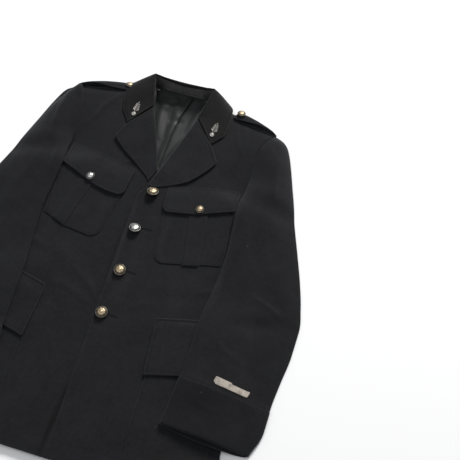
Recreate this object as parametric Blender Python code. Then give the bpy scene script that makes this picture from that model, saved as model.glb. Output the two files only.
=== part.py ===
"""Wool uniform tunic laid on its back, buttoned, with its sleeves drawn down over its sides.

Every piece that a tailor cuts is a wall of cloth of its own. The tables are in millimetres in
the jacket's own plan: X across the chest, towards the over front, Y up to the collar, with Y = 0
at the top front button, and Z up from the table. The last lines of place() turn them into metres
round the middle of the whole jacket.
"""

import math

import bmesh
import bpy
from mathutils import Matrix, Vector
from mathutils.geometry import delaunay_2d_cdt

MM = 0.001
PLAN_MIDDLE_Y = -154.0  # the middle of the jacket's length, in its own plan
GAP = 0.3  # between two pieces at a seam, or one lying on the other

WOOL = 2.2  # body, sleeves and collar
POCKET_WOOL = 1.9
LINING = 1.2
PLEAT_RAISE = 1.4  # how much thicker a pocket is along its box pleat
PLEAT_STEP = 0.9  # the width over which it gets thicker
PLEAT_BEYOND = 60  # its lines run this far past the pocket
OVERLAP_RAISE = WOOL + GAP + 0.25  # the over front rides this far above the under front
OVERLAP_BLEND = (22, 75)  # where, from the centre line, that raise begins and ends to fade
SIDE_FALL = 110  # width over which the chest falls to the flat side seam

LARGE_BUTTON = 25.0
LARGE_SHANK = (3.2, 4.0)  # radius and height
SMALL_BUTTON = 17.0
SMALL_SHANK = (2.6, 2.2)
ROUND_SIDES = 18
DOME = ((0.9, 0), (1, 0.09), (1, 0.2), (0.9, 0.26), (0.68, 0.42), (0.38, 0.54), (0, 0.58))
BADGE_DISC = 5.2  # radius
BADGE_SPRAY = ((5.4, 9), (6.2, 15), (5.0, 21), (2.6, 25))  # half width and height above the disc's middle
BADGE_TIP = 29
BADGE_THICKNESS = 1.6
BRAID_THICKNESS = 1.4

DRAPE_REACH = 26  # laid cloth bridges this far beyond the edge of what lies under it
STEEPEST = 0.55  # the upright part of a normal, below which a wall gets no thicker

# Fronts: a row for each section from the hem to the shoulder seam, on the half towards +X.
# inner is where the row starts at the front edge, then the roll line, then the neck seam.
FRONT_ROWS = (
    # y_inner, over_x, under_x, y_outer, x_outer, crown, outer_height
    (-567, -19, -19, -563, 304, 11.5, 4.9),
    (-520, -19, -19, -520, 298, 12.2, 4.9),
    (-470, -19, -19, -470, 291, 13.0, 4.9),
    (-420, -19, -19, -420, 282, 14.0, 4.9),
    (-370, -19, -19, -370, 276, 15.0, 4.9),
    (-320, -19, -19, -320, 270, 16.5, 4.9),
    (-272, -19, -19, -272, 263, 18.0, 4.9),
    (-225, -19, -19, -225, 259, 19.0, 4.9),
    (-180, -19, -19, -180, 257, 20.0, 4.9),
    (-135, -19, -19, -135, 258, 21.0, 4.9),
    (-90, -19, -19, -90, 260, 22.0, 4.9),
    (-22, -18, -19, -30, 267, 24.0, 4.9),
    (4, -2, -17, -2, 270, 25.0, 4.9),
    (38, 7, -6, 45, 200, 26.0, 6.5),
    (68, 16, 4.5, 75, 188.5, 27.0, 12.0),
    (105, 28, 18, 105, 188, 28.0, 18.0),
    (142, 39, 32, 132, 188.5, 28.5, 22.0),
    (178, 48, 46, 152, 190.5, 28.5, 24.0),
    (203, 50, 50, 170, 197, 28.0, 24.0),
    (219, 54, 54, 182, 204.5, 24.0, 21.0),
    (229, 56, 56, 190, 210, 15.0, 13.0),
    (234, 58, 58, 195, 212.5, 3.9, 3.9),
)
HEM_ROWS = 13  # how many of them lie below the armhole
FRONT_ACROSS = (0, 0.09, 0.22, 0.37, 0.52, 0.66, 0.78, 0.88, 0.95, 1)
BACK_NECK = ((58, 234), (54, 234.5), (30, 231), (0, 230))
LINING_HALF = ((72, 20), (78, 120), (66, 190), (50, 229), (28, 229.5), (0, 228.5))
ARMHOLE_FOOT = ((190, 66), (200, 45), (226, 20), (252, 6))  # its hidden lower curve, shared with the back

SLEEVE_EDGE = 1.0  # open space inside the sleeve's outer fold
FOLD_ROUND = 0.8  # how far the fold's corners draw in
EASE = 0.5  # how far a cuff's corners are rounded off
FOLD_FOOT = 3.5  # where the fold meets the table, in from its outer edge
HEAD_ROUND = 2.4  # the powers that shape the sleeve head and the sleeve's own swell
SWELL_ROUND = 0.6
UNDER_STEPS = (0.3, 0.65, 1)  # points of the part turned under
# Sleeves: a row for each section from the sleeve head to the cuff's mouth.
# seam_height is the height of the armhole seam, or None where the sleeve lies over the side.
SLEEVE_ROWS = (
    # x_inner, y_inner, x_outer, y_outer, seam_height, rise, x_turned_under
    (212.9, 195, 229, 188, 4.4, 0.8, 216),
    (210.4, 190, 237, 181, 13.5, 1.0, 214),
    (204.9, 182, 244, 172, 21.5, 1.2, 208),
    (197.4, 170, 252, 156, 24.5, 1.4, 200),
    (190.9, 152, 260, 136, 24.5, 1.6, 194),
    (188.9, 132, 267, 117, 22.5, 1.8, 192),
    (188.4, 105, 275, 94, 18.6, 2.0, 191),
    (188.9, 75, 285, 66, 14.8, 4.0, 192),
    (188.5, 52, 293, 42, None, 6.0, 204),
    (186, 28, 300, 18, None, 7.5, 238),
    (184, 2, 308, -4, None, 9.0, 293),
    (188, -50, 326, -52, None, 9.0, 302),
    (191, -100, 344, -102, None, 9.0, 316),
    (189, -150, 359, -152, None, 9.0, 329),
    (184, -198, 368, -198, None, 9.0, 338),
    (183.5, -211, 368.5, -211, None, 9.0, 338.5),
    (180, -250, 367, -252, None, 9.0, 337),
    (179, -300, 361, -306, None, 9.0, 331),
    (178, -338, 357, -350, None, 9.0, 327),
    (177.5, -347, 356.5, -359, None, 9.0, 326.5),
    (177, -357, 356, -369, None, 9.0, 326),
    (173, -400, 356, -406, None, 9.5, 326),
    (168, -445, 341, -455, None, 10.5, 311),
)
UNDERARM_ROW = 10  # the under sleeve starts at this row
CUFF_ROW = 20  # the cuff starts at this row, and the sleeve is raised for it from the one before
SLEEVE_ACROSS = (0, 0.06, 0.18, 0.34, 0.5, 0.66, 0.8, 0.91, 0.97)
SLEEVE_UNDER_ACROSS = (0, 0.12, 0.3, 0.48, 0.66, 0.84, 1)

# Collar: a row for each section from the gorge to the centre back, on the half towards +X.
COLLAR_ROWS = (
    # neck seam x, y, z, roll line x, y, z, outer edge x, y, z
    (None, (50.5, 178, 32.2), (91.5, 128.5, 31.6)),
    ((52, 190, 29.4), (54, 189, 36), (113, 154, 31.6)),
    ((53, 206, 29.0), (58, 207, 40), (115, 180, 32)),
    ((57, 221, 24.5), (62, 225, 43), (114, 203, 31)),
    ((60, 230, 16), (65, 238, 44), (112, 218, 25)),
    ((54, 236.5, 5.5), (65, 247, 44), (98, 237, 12)),
    ((35, 237.5, 4.5), (44, 245.5, 43), (60, 258, 3.5)),
    ((0, 237.5, 4.5), (0, 243.5, 42), (0, 259, 3.5)),
)
LEAF_ACROSS = (0, 0.12, 0.4, 0.7, 1)
LEAF_CROWN = 1.5
LEAF_LEAN = 0.6  # how much of the crown goes outwards
STAND_BELOW_ROLL = 2.4
STAND_INSET = 0.44  # where its upper edge runs, from over the roll line towards over the neck seam

# Lapels: the outline from the gorge down the roll line and back up the outer edge.
LAPEL_OVER = (
    (49.5, 177), (39.6, 142), (28.6, 105), (16.6, 68), (7.6, 38), (2.5, 20), (-1.2, 5), (4, 1.5), (18, 6),
    (38, 14.5), (58, 24.5), (74, 34.5), (87, 48), (98, 62), (108, 76), (116, 91.5), (94, 125.5), (90.6, 128),
)
LAPEL_UNDER = (
    (49.5, 177), (32.6, 142), (18.6, 105), (5.1, 68), (-3.4, 44), (1.6, 26), (6, 14), (12, 22),
    (39, 42), (70, 63), (90, 79), (102, 91.5), (92.5, 123), (90.6, 128),
)

# Patch pockets and flaps, towards +X; rounded corners are given as corner radii.
BREAST_POCKETS = {
    # corners of the body, then of the flap: x, y, radius
    "left": {
        "body": ((44, -20, 0), (55, -150, 20), (187, -119, 6), (186, 12, 0)),
        "flap": ((38, 16, 4), (41, -44, 13), (112, -30, 0), (181, -3, 4), (179, 50, 4)),
        "pleat": ((95, -24, 115, -141), (130, -10, 144, -131)),
        "button": (113.5, -16),
    },
    "right": {
        "body": ((44, -5, 0), (68, -136, 22), (138, -126, 0), (186, -106, 6), (184, 20, 0)),
        "flap": ((38, 32, 4), (44, -34, 15), (80, -31, 0), (105, -26, 0), (186, 7, 4), (184, 62, 4)),
        "pleat": ((111, -20, 138, -127), (143, -10, 167, -115)),
        "button": (122.5, -8),
    },
}
LOWER_POCKETS = {
    "left": {
        "body": (
            (101, -262, 0), (113, -350, 0), (113, -480, 0), (128, -548, 30), (272, -548, 30), (258, -226, 0),
        ),
        "flap": ((98, -255, 1), (109, -369, 2), (262, -330, 2), (254, -217, 1)),
    },
    "right": {
        "body": (
            (130, -257, 0), (139, -350, 0), (139, -480, 0), (150, -548, 30), (272, -548, 30), (260, -226, 0),
        ),
        "flap": ((127, -250, 1), (136, -362, 2), (264, -330, 2), (256, -217, 1)),
    },
}

FRONT_BUTTONS = (
    # x, y, tilt about X in degrees
    (8, -9, 0),
    (1, -92, -24),
    (-1, -184, 0),
    (-6.5, -275, 0),
)
BADGES = {"right": ((-81, 149), -6), "left": ((88, 148), -8)}  # place of the disc, turn in degrees
SLEEVE_BAR = ((244, -334.5), (241, -347), (245, -350), (279, -353), (309, -354), (313, -341.5), (281, -339.5))
# The largest folds: ridges, or troughs where height is negative, along a line and fading at its ends
FOLD_ENDS = 0.7  # the power by which they fade
FOLDS = (
    # piece, x0, y0, x1, y1, half width, height
    ("front_right", -60, -285, -190, -190, 38, 2.4),
    ("front_right", -75, -205, -185, -150, 34, 1.8),
    ("front_right", -62, -330, -78, -540, 36, 2.0),
    ("front_left", 62, -285, 175, -200, 38, 2.2),
    ("front_left", 70, -200, 170, -165, 32, 1.6),
    ("front_left", 60, -340, 66, -545, 36, 2.0),
    ("top_sleeve_left", 205, 25, 262, -115, 24, -3.4),
    ("top_sleeve_left", 228, -240, 352, -188, 26, -3.6),
    ("top_sleeve_left", 300, -60, 322, -160, 22, 2.2),
    ("top_sleeve_right", -207, 40, -248, -95, 24, -3.2),
    ("top_sleeve_right", -222, -215, -345, -225, 26, -3.4),
    ("top_sleeve_right", -285, 10, -325, -140, 24, 2.4),
)
# Epaulettes: from the button end to the sleeve head, how far each section reaches on to the front
EPAULETTE_ROWS = ((0.42, 6, 15), (0.46, 11, 19.5), (0.62, 9.7, 19), (0.82, 8.4, 18), (0.985, 7, 17.6))
EPAULETTE_NECK = {"left": 0, "right": -0.1}  # how much nearer the collar its first two rows start

EPAULETTE_ACROSS = (1, 0.833)  # its points on the front, as parts of the reach and arc
EPAULETTE_EDGE = (12.3, 0.6)  # and near the shoulder seam, in millimetres on to the front
EPAULETTE_CLEAR = 0.9
EPAULETTE_WOOL = 1.8
EPAULETTE_BOTTOM = 0.4  # the height of its lower edge behind the shoulder
SHOULDER_OUT = (0.24, 1, 0)  # the way that the shoulder faces
EPAULETTE_BUTTON = {"left": (0.49, 9), "right": (0.415, 9)}  # along the shoulder, and on to the front

tops = {}  # piece name: the triangles of its upper surface, which other pieces lie on


def material(name, colour, roughness, metallic=0.0):
    """A plain principled material."""
    made = bpy.data.materials.new(name)
    made.use_nodes = True
    shader = made.node_tree.nodes["Principled BSDF"]
    shader.inputs["Base Color"].default_value = (*colour, 1)
    shader.inputs["Roughness"].default_value = roughness
    shader.inputs["Metallic"].default_value = metallic
    return made


def place(name, points, faces, finish, smooth=True):
    """Makes the object from points in millimetres of the jacket's plan."""
    mesh = bpy.data.meshes.new(name)
    shift = Vector((0, -PLAN_MIDDLE_Y, 0))
    mesh.from_pydata([(Vector(p) + shift) * MM for p in points], [], faces)
    shell = bmesh.new()
    shell.from_mesh(mesh)
    bmesh.ops.recalc_face_normals(shell, faces=shell.faces)
    shell.to_mesh(mesh)
    shell.free()
    piece = bpy.data.objects.new(name, mesh)
    bpy.context.scene.collection.objects.link(piece)
    mesh.materials.append(finish)
    if smooth:
        mesh.shade_smooth()
        mesh.set_sharp_from_angle(angle=math.radians(35))
    return piece


def wall(name, outer, inner, finish, side=1):
    """A closed wall between two grids of points; side -1 mirrors it about the centre line."""
    count, width = len(outer), len(outer[0])
    points = [p for row in outer for p in row] + [p for row in inner for p in row]
    points = [Vector((p[0] * side, p[1], p[2])) for p in points]
    start = count * width

    def corner(layer, i, j):
        return layer * start + i * width + j

    faces = []
    for i in range(count - 1):
        for j in range(width - 1):
            for a, b, c in (((i, j), (i, j + 1), (i + 1, j + 1)), ((i, j), (i + 1, j + 1), (i + 1, j))):
                faces.append((corner(0, *a), corner(0, *b), corner(0, *c)))
                faces.append((corner(1, *c), corner(1, *b), corner(1, *a)))
    rim = [(i, 0) for i in range(count)] + [(count - 1, j) for j in range(1, width)]
    rim += [(i, width - 1) for i in range(count - 2, -1, -1)] + [(0, j) for j in range(width - 2, 0, -1)]
    for a, b in zip(rim, rim[1:] + rim[:1]):
        faces.append((corner(0, *a), corner(0, *b), corner(1, *b), corner(1, *a)))
    if side < 0:
        faces = [face[::-1] for face in faces]
    tops[name] = [[points[k] for k in face] for face in faces if max(face) < start]
    return place(name, points, faces, finish)


def grid_normals(rows):
    """The normals of a grid of points whose rows run up and whose columns run to +X."""
    normals = []
    for i, row in enumerate(rows):
        below, above = rows[max(i - 1, 0)], rows[min(i + 1, len(rows) - 1)]
        line = []
        for j in range(len(row)):
            across = Vector(row[min(j + 1, len(row) - 1)]) - Vector(row[max(j - 1, 0)])
            along = Vector(above[j]) - Vector(below[j])
            line.append(across.cross(along).normalized())
        normals.append(line)
    return normals


def offset(rows, normals, distance):
    """A grid moved along its normals."""
    return [[Vector(p) + n * distance for p, n in zip(*pair)] for pair in zip(rows, normals)]


def lowered(rows, thickness, normals, floor):
    """The under side of laid cloth: straight down, more so where it slopes, and above a floor."""
    under = []
    for row, line in zip(rows, normals):
        lower = []
        for (x, y, z), normal in zip(row, line):
            lower.append(Vector((x, y, max(z - thickness / max(normal.z, STEEPEST), floor))))
        under.append(lower)
    return under


def blend(low, high, value):
    """0 below low, 1 above high, smooth between."""
    t = min(max((value - low) / (high - low), 0), 1)
    return t * t * (3 - 2 * t)


def fold(piece, x, y):
    """How far the largest folds raise a piece at a place."""
    total = 0.0
    here = Vector((x, y))
    for name, x0, y0, x1, y1, half_width, height in FOLDS:
        if name != piece:
            continue
        start, line = Vector((x0, y0)), Vector((x1 - x0, y1 - y0))
        along = (here - start).dot(line) / line.length_squared
        apart = abs((here - start).cross(line.normalized()))
        if 0 < along < 1 and apart < half_width:
            across = math.cos(math.pi / 2 * apart / half_width) ** 2
            total += height * across * math.sin(math.pi * along) ** FOLD_ENDS
    return total


def front_rows(over, name, side):
    """The upper surface of a front, on the half towards +X."""
    rows = []
    for y_inner, over_x, under_x, y_outer, x_outer, crown, outer_height in FRONT_ROWS:
        x_inner = over_x if over else under_x
        row = []
        for u in FRONT_ACROSS:
            x = x_inner + (x_outer - x_inner) * u
            y = y_inner + (y_outer - y_inner) * u
            rise = math.sin(math.pi / 2 * min((x_outer - x) / SIDE_FALL, 1))
            z = outer_height + (crown - outer_height) * rise
            if over:
                level = 1 - blend(30, 80, y_inner)
                z += OVERLAP_RAISE * (1 - blend(*OVERLAP_BLEND, x)) * level
            row.append((x, y, z + fold(name, x * side, y)))
        rows.append(row)
    return rows


def height_on(names, x, y):
    """The highest upper surface of the named pieces at a place, or None beside them."""
    best = None
    for name in names:
        for a, b, c in tops[name]:
            span = (b.x - a.x) * (c.y - a.y) - (c.x - a.x) * (b.y - a.y)
            if abs(span) < 1e-9:
                continue
            v = ((x - a.x) * (c.y - a.y) - (c.x - a.x) * (y - a.y)) / span
            w = ((b.x - a.x) * (y - a.y) - (x - a.x) * (b.y - a.y)) / span
            if min(v, w, 1 - v - w) > -1e-6:
                z = a.z + (b.z - a.z) * v + (c.z - a.z) * w
                best = z if best is None else max(best, z)
    return best


def nearest_height(names, x, y):
    """The height at a place, or at the nearest point of the pieces beside it."""
    found = height_on(names, x, y)
    if found is not None:
        return found
    corners = [p for name in names for face in tops[name] for p in face]
    return min(corners, key=lambda p: (p.x - x) ** 2 + (p.y - y) ** 2).z


def inside(outline, x, y):
    """Whether a place lies within a closed outline."""
    within = False
    for (ax, ay), (bx, by) in zip(outline, outline[1:] + outline[:1]):
        if (ay > y) != (by > y) and x < ax + (bx - ax) * (y - ay) / (by - ay):
            within = not within
    return within


def rounded(corners, steps=4):
    """A closed outline whose corners are arcs of their own radius."""
    outline = []
    for k, (x, y, radius) in enumerate(corners):
        here = Vector((x, y))
        if not radius:
            outline.append((x, y))
            continue
        before = (Vector(corners[k - 1][:2]) - here).normalized()
        after = (Vector(corners[(k + 1) % len(corners)][:2]) - here).normalized()
        half = before.angle(after) / 2
        reach = radius / math.tan(half)
        centre = here + (before + after).normalized() * radius / math.sin(half)
        first, last = here + before * reach - centre, here + after * reach - centre
        for n in range(steps + 1):
            spoke = first.lerp(last, n / steps).normalized() * radius
            outline.append(tuple(centre + spoke))
    return outline


def laid(name, outline, carriers, finish, lift, thickness, folds=(), extra=None):
    """A piece lying on others: its outline filled along the carriers' own edges.

    folds are straight lines, x0 y0 x1 y1, that its surface also breaks along, and extra(x, y)
    is what its upper surface stands out there.
    """
    points = [Vector(p) for p in outline]
    edges = [(k, (k + 1) % len(outline)) for k in range(len(outline))]
    low = Vector((min(p.x for p in points), min(p.y for p in points)))
    high = Vector((max(p.x for p in points), max(p.y for p in points)))
    for carrier in carriers:
        seen = set()
        for face in tops[carrier]:
            for a, b in ((face[0], face[1]), (face[1], face[2]), (face[2], face[0])):
                key = tuple(sorted((tuple(round(v, 4) for v in a.xy), tuple(round(v, 4) for v in b.xy))))
                apart = max(a.x, b.x) < low.x or min(a.x, b.x) > high.x
                apart = apart or max(a.y, b.y) < low.y or min(a.y, b.y) > high.y
                if key in seen or apart:
                    continue
                seen.add(key)
                edges.append((len(points), len(points) + 1))
                points += [a.xy, b.xy]
    for x0, y0, x1, y1 in folds:
        edges.append((len(points), len(points) + 1))
        points += [Vector((x0, y0)), Vector((x1, y1))]
    flat, _, faces, _, _, _ = delaunay_2d_cdt(points, edges, [], 0, 1e-4)
    kept = []
    for face in faces:
        middle = sum((flat[k] for k in face), Vector((0, 0))) / len(face)
        if len(face) == 3 and inside(outline, *middle):
            kept.append(tuple(face))
    used = sorted({k for face in kept for k in face})
    index = {k: n for n, k in enumerate(used)}
    lower, upper = [], []
    for k in used:
        x, y = flat[k]
        z = nearest_height(carriers, x, y) + lift
        lower.append(Vector((x, y, z)))
        upper.append(Vector((x, y, z + thickness + (extra(x, y) if extra else 0))))
    count = len(used)
    faces = []
    border = {}
    for face in kept:
        a, b, c = (index[k] for k in face)
        u, v, w = upper[a], upper[b], upper[c]
        if (v.xy - u.xy).cross(w.xy - u.xy) < 0:
            a, b, c = a, c, b
        faces += [(a + count, b + count, c + count), (c, b, a)]
        for edge in ((a, b), (b, c), (c, a)):
            if edge[::-1] in border:
                del border[edge[::-1]]
            else:
                border[edge] = True
    for a, b in border:
        faces.append((a, b, b + count, a + count))
    tops[name] = [[upper[k - count] for k in face] for face in faces if len(face) == 3 and min(face) >= count]
    return place(name, lower + upper, faces, finish)


def turned(name, profile, at, finish, tilt=0.0, sides=ROUND_SIDES):
    """A round piece turned from (radius, height) steps, the first and last on the axis."""
    points, rings = [], []
    for radius, height in profile:
        if radius == 0:
            rings.append([len(points)] * sides)
            points.append(Vector((0, 0, height)))
            continue
        rings.append(list(range(len(points), len(points) + sides)))
        for n in range(sides):
            angle = 2 * math.pi * n / sides
            points.append(Vector((radius * math.cos(angle), radius * math.sin(angle), height)))
    faces = []
    for lower, upper in zip(rings, rings[1:]):
        for n in range(sides):
            m = (n + 1) % sides
            face = []
            for k in (lower[n], lower[m], upper[m], upper[n]):
                if k not in face:
                    face.append(k)
            faces.append(tuple(face))
    turn = Matrix.Rotation(math.radians(tilt), 3, "X")
    return place(name, [turn @ p + Vector(at) for p in points], faces, finish)


def button_profile(width, shank, stand):
    """A domed button with a rim, on its shank."""
    r = width / 2
    return [(0, 0), (shank, 0), (shank, stand)] + [(r * across, stand + r * up) for across, up in DOME]


def make_body(cloth, lining_cloth):
    """Back, lining of the back neck, and both fronts."""
    side_line = [(row[4], row[3]) for row in FRONT_ROWS[:HEM_ROWS]]
    armhole = [(row[4], row[3]) for row in FRONT_ROWS[HEM_ROWS + 1:]]
    half = side_line + list(ARMHOLE_FOOT[::-1]) + armhole + list(BACK_NECK)
    outline = half + [(-x, y) for x, y in half[-2::-1]]
    flat_wall("back", outline, 0, WOOL, cloth)
    neck = list(LINING_HALF) + [(-x, y) for x, y in LINING_HALF[-2::-1]]
    flat_wall("back_lining", neck, WOOL + GAP, LINING, lining_cloth)
    for name, over, side in (("front_left", True, 1), ("front_right", False, -1)):
        rows = front_rows(over, name, side)
        wall(name, rows, lowered(rows, WOOL, grid_normals(rows), WOOL + GAP), cloth, side)


def flat_wall(name, outline, bottom, thickness, finish):
    """A flat piece of cloth."""
    tops["table"] = [[Vector((-1e3, -1e3, 0)), Vector((3e3, -1e3, 0)), Vector((-1e3, 3e3, 0))]]
    laid(name, outline, ["table"], finish, bottom, thickness)


def make_collar(cloth):
    """Stand round the neck, and the leaf that falls over it."""
    half = [[None if p is None else Vector(p) for p in row] for row in COLLAR_ROWS]
    mirror = Vector((-1, 1, 1))
    whole = [[p if p is None else p * mirror for p in row] for row in half] + half[-2::-1]
    leaf = []
    for _, roll, edge in whole:
        row = []
        for u in LEAF_ACROSS:
            p = roll.lerp(edge, u)
            out = Vector((edge.x - roll.x, edge.y - roll.y, 0)).normalized()
            swell = LEAF_CROWN * math.sin(math.pi * u)
            row.append(p + (Vector((0, 0, 1)) + out * LEAF_LEAN) * swell)
        leaf.append(row)
    normals = grid_normals([row[::-1] for row in leaf])
    normals = [line[::-1] for line in normals]
    wall("collar_leaf", leaf, offset(leaf, normals, -WOOL), cloth)
    stand = []
    for seam, roll, _ in whole[1:-1]:
        top = roll.lerp(Vector((seam.x, seam.y, roll.z)), STAND_INSET) - Vector((0, 0, STAND_BELOW_ROLL))
        stand.append([seam.lerp(top, u) for u in (0, 0.5, 1)])
    normals = grid_normals(stand)
    wall("collar_stand", stand, offset(stand, normals, -WOOL), cloth)


def make_lapels(cloth):
    """The turned facings that show on each side of the neck."""
    laid("lapel_left", list(LAPEL_OVER), ["front_left"], cloth, GAP, WOOL)
    outline = [(-x, y) for x, y in LAPEL_UNDER]
    laid("lapel_right", outline, ["front_right"], cloth, GAP, WOOL)


def make_pockets(cloth):
    """Breast pockets with a box pleat, lower pockets, and their flaps."""
    for side_name, side in (("left", 1), ("right", -1)):
        carrier = "front_" + side_name
        spec = BREAST_POCKETS[side_name]
        lines = spec["pleat"]

        def pleat(x, y):
            """How much the box pleat, between its two lines, thickens the pocket."""
            first, second = (abs(x) - (x0 + (x1 - x0) * (y - y0) / (y1 - y0)) for x0, y0, x1, y1 in lines)
            return PLEAT_RAISE if first > PLEAT_STEP * 0.8 and second < -PLEAT_STEP * 0.8 else 0.0

        folds = []
        for (x0, y0, x1, y1), inward in zip(lines, (PLEAT_STEP, -PLEAT_STEP)):
            beyond = PLEAT_BEYOND * (x1 - x0) / (y1 - y0)
            for step in (0, inward):
                start, end = (x0 + step + beyond) * side, (x1 + step - beyond) * side
                folds.append((start, y0 + PLEAT_BEYOND, end, y1 - PLEAT_BEYOND))
        body = [(x * side, y) for x, y in rounded(spec["body"])]
        laid("breast_pocket_" + side_name, body, [carrier], cloth, GAP, POCKET_WOOL, folds, pleat)
        flap = [(x * side, y) for x, y in rounded(spec["flap"])]
        lift = 2 * GAP + POCKET_WOOL + PLEAT_RAISE
        laid("breast_flap_" + side_name, flap, [carrier], cloth, lift, POCKET_WOOL)
        spec = LOWER_POCKETS[side_name]
        body = [(x * side, y) for x, y in rounded(spec["body"])]
        laid("lower_pocket_" + side_name, body, [carrier], cloth, GAP, POCKET_WOOL)
        flap = [(x * side, y) for x, y in rounded(spec["flap"], 2)]
        laid("lower_flap_" + side_name, flap, [carrier], cloth, 2 * GAP + POCKET_WOOL, POCKET_WOOL)


def support(carriers, x, y, reach):
    """What laid cloth must clear at a place: the highest piece within reach, or the table."""
    places = [(x, y)]
    for step in (reach / 2, reach):
        for n in range(8):
            angle = math.pi * n / 4
            places.append((x + step * math.cos(angle), y + step * math.sin(angle)))
    heights = [height_on(carriers, *place) for place in places]
    return max([z for z in heights if z is not None], default=0.0)


def make_sleeve(side_name, side, cloth):
    """Top sleeve, under sleeve and turned-back cuff, stacked on what they lie on."""
    below = ("front_", "lower_pocket_", "lower_flap_", "breast_pocket_", "breast_flap_")
    carriers = [name + side_name for name in below]
    low_outer, low_inner, top_outer, top_inner = [], [], [], []
    cuff_rings = []
    for k, row in enumerate(SLEEVE_ROWS):
        x_in, y_in, x_out, y_out, seam_height, rise, x_under = row
        raised = WOOL + GAP if k >= CUFF_ROW - 1 else 0
        line = Vector((x_out - x_in, y_out - y_in))

        def ground(x, y):
            """The bottom of the under sleeve."""
            height = support(carriers, x * side, y, DRAPE_REACH)
            return raised + (height + GAP if height > 0 else 0)

        def upper(t):
            """The height of the top sleeve's upper surface."""
            x, y = x_in + line.x * t, y_in + line.y * t
            edge = raised + 2 * WOOL + SLEEVE_EDGE
            if seam_height is not None:
                return edge + max(seam_height - edge, 0) * math.sqrt(max(1 - t ** HEAD_ROUND, 0))
            base = ground(x, y)
            if k >= UNDERARM_ROW:
                base += WOOL + GAP
            swell = rise * math.sin(math.pi * t) ** SWELL_ROUND
            return max(base + WOOL + swell, edge)

        outer = []
        for t in SLEEVE_ACROSS:
            x, y = x_in + line.x * t, y_in + line.y * t
            outer.append(Vector((x, y, upper(t) + fold("top_sleeve_" + side_name, x * side, y))))
        inner = [p - Vector((0, 0, WOOL)) for p in outer]
        high, low = raised + 2 * WOOL + SLEEVE_EDGE, raised
        middle = (high + low) / 2
        bulge = (high - middle) * 0.6
        outer += [
            Vector((x_out - FOLD_ROUND, y_out, middle + bulge)),
            Vector((x_out, y_out, middle)),
            Vector((x_out - FOLD_ROUND, y_out, middle - bulge)),
            Vector((x_out - FOLD_FOOT, y_out, low)),
        ]
        hollow = x_out - WOOL - FOLD_ROUND
        inner += [
            Vector((hollow - SLEEVE_EDGE / 2, y_out, middle + SLEEVE_EDGE / 3)),
            Vector((hollow, y_out, middle)),
            Vector((hollow - SLEEVE_EDGE / 2, y_out, middle - SLEEVE_EDGE / 3)),
            Vector((hollow - SLEEVE_EDGE * 2, y_out, low + WOOL)),
        ]
        for u in UNDER_STEPS:
            x = x_out - FOLD_FOOT + (x_under - x_out + FOLD_FOOT) * u
            y = y_out + line.y * (x - x_out) / line.x
            outer.append(Vector((x, y, low)))
            inner.append(Vector((x, y, low + WOOL)))
        top_outer.append(outer)
        top_inner.append(inner)
        if k >= UNDERARM_ROW:
            reach = x_under - GAP - x_in
            under = []
            for u in SLEEVE_UNDER_ACROSS:
                x = x_in + reach * u
                y = y_in + line.y * (x - x_in) / line.x
                z = ground(x, y) if u < 1 else raised
                under.append(Vector((x, y, z)))
            low_outer.append([p + Vector((0, 0, WOOL)) for p in under])
            low_inner.append(under)
        if k >= CUFF_ROW:
            turned_under = outer[len(SLEEVE_ACROSS) + 3:]
            cuff_rings.append((outer[:len(SLEEVE_ACROSS)], turned_under + under[::-1], row))
    wall("top_sleeve_" + side_name, top_outer[::-1], top_inner[::-1], cloth, side)
    wall("under_sleeve_" + side_name, low_outer[::-1], low_inner[::-1], cloth, side)
    make_cuff(side_name, side, cloth, cuff_rings)


def make_cuff(side_name, side, cloth, sections):
    """The band turned back round the sleeve's end, a flattened tube."""
    outer_rings, inner_rings = [], []
    for upper, lower, row in sections:
        x_in, y_in, x_out, y_out = row[:4]
        inner = [p + Vector((0, 0, GAP)) for p in upper]
        outer = [p + Vector((0, 0, WOOL)) for p in inner]
        shoulder, far = upper[-1].z - EASE, x_out + GAP
        inner += [Vector((far, y_out, shoulder)), Vector((far, y_out, WOOL + EASE))]
        outer += [Vector((far + WOOL, y_out, shoulder)), Vector((far + WOOL, y_out, 2 * EASE))]
        for p in lower:
            outer.append(Vector((p.x, p.y, p.z - GAP - WOOL)))
            inner.append(Vector((p.x, p.y, p.z - GAP)))
        near, z_low, z_high = x_in - GAP, outer[-1].z, upper[0].z
        outer += [Vector((near - WOOL, y_in, z_low + 2 * EASE)), Vector((near - WOOL, y_in, z_high + EASE))]
        inner += [Vector((near, y_in, z_low + WOOL + EASE)), Vector((near, y_in, z_high))]
        outer_rings.append(outer)
        inner_rings.append(inner)
    tube("cuff_" + side_name, outer_rings[::-1], inner_rings[::-1], cloth, side)


def tube(name, outer, inner, finish, side):
    """A wall whose sections close on themselves, open at both ends."""
    count, width = len(outer), len(outer[0])
    points = [p for row in outer for p in row] + [p for row in inner for p in row]
    points = [Vector((p.x * side, p.y, p.z)) for p in points]
    start = count * width
    faces = []
    for j in range(width):
        m = (j + 1) % width
        for i in range(count - 1):
            a, b = i * width + j, i * width + m
            c, d = a + width, b + width
            # the lower half runs back towards the body, so its diagonals turn to match the sleeve's
            back = outer[i][m].x < outer[i][j].x
            for face in ((a, b, c), (b, d, c)) if back else ((a, b, d), (a, d, c)):
                faces += [face, tuple(start + k for k in face[::-1])]
        a, b = j, m
        faces.append((start + a, start + b, b, a))
        a, b = (count - 1) * width + j, (count - 1) * width + m
        faces.append((a, b, start + b, start + a))
    if side < 0:
        faces = [face[::-1] for face in faces]
    upward = []
    for face in faces:
        if max(face) < start:
            a, b, c = (points[k] for k in face)
            if (b.xy - a.xy).cross(c.xy - a.xy) > 0:
                upward.append([a, b, c])
    tops[name] = upward
    return place(name, points, faces, finish)


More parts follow.
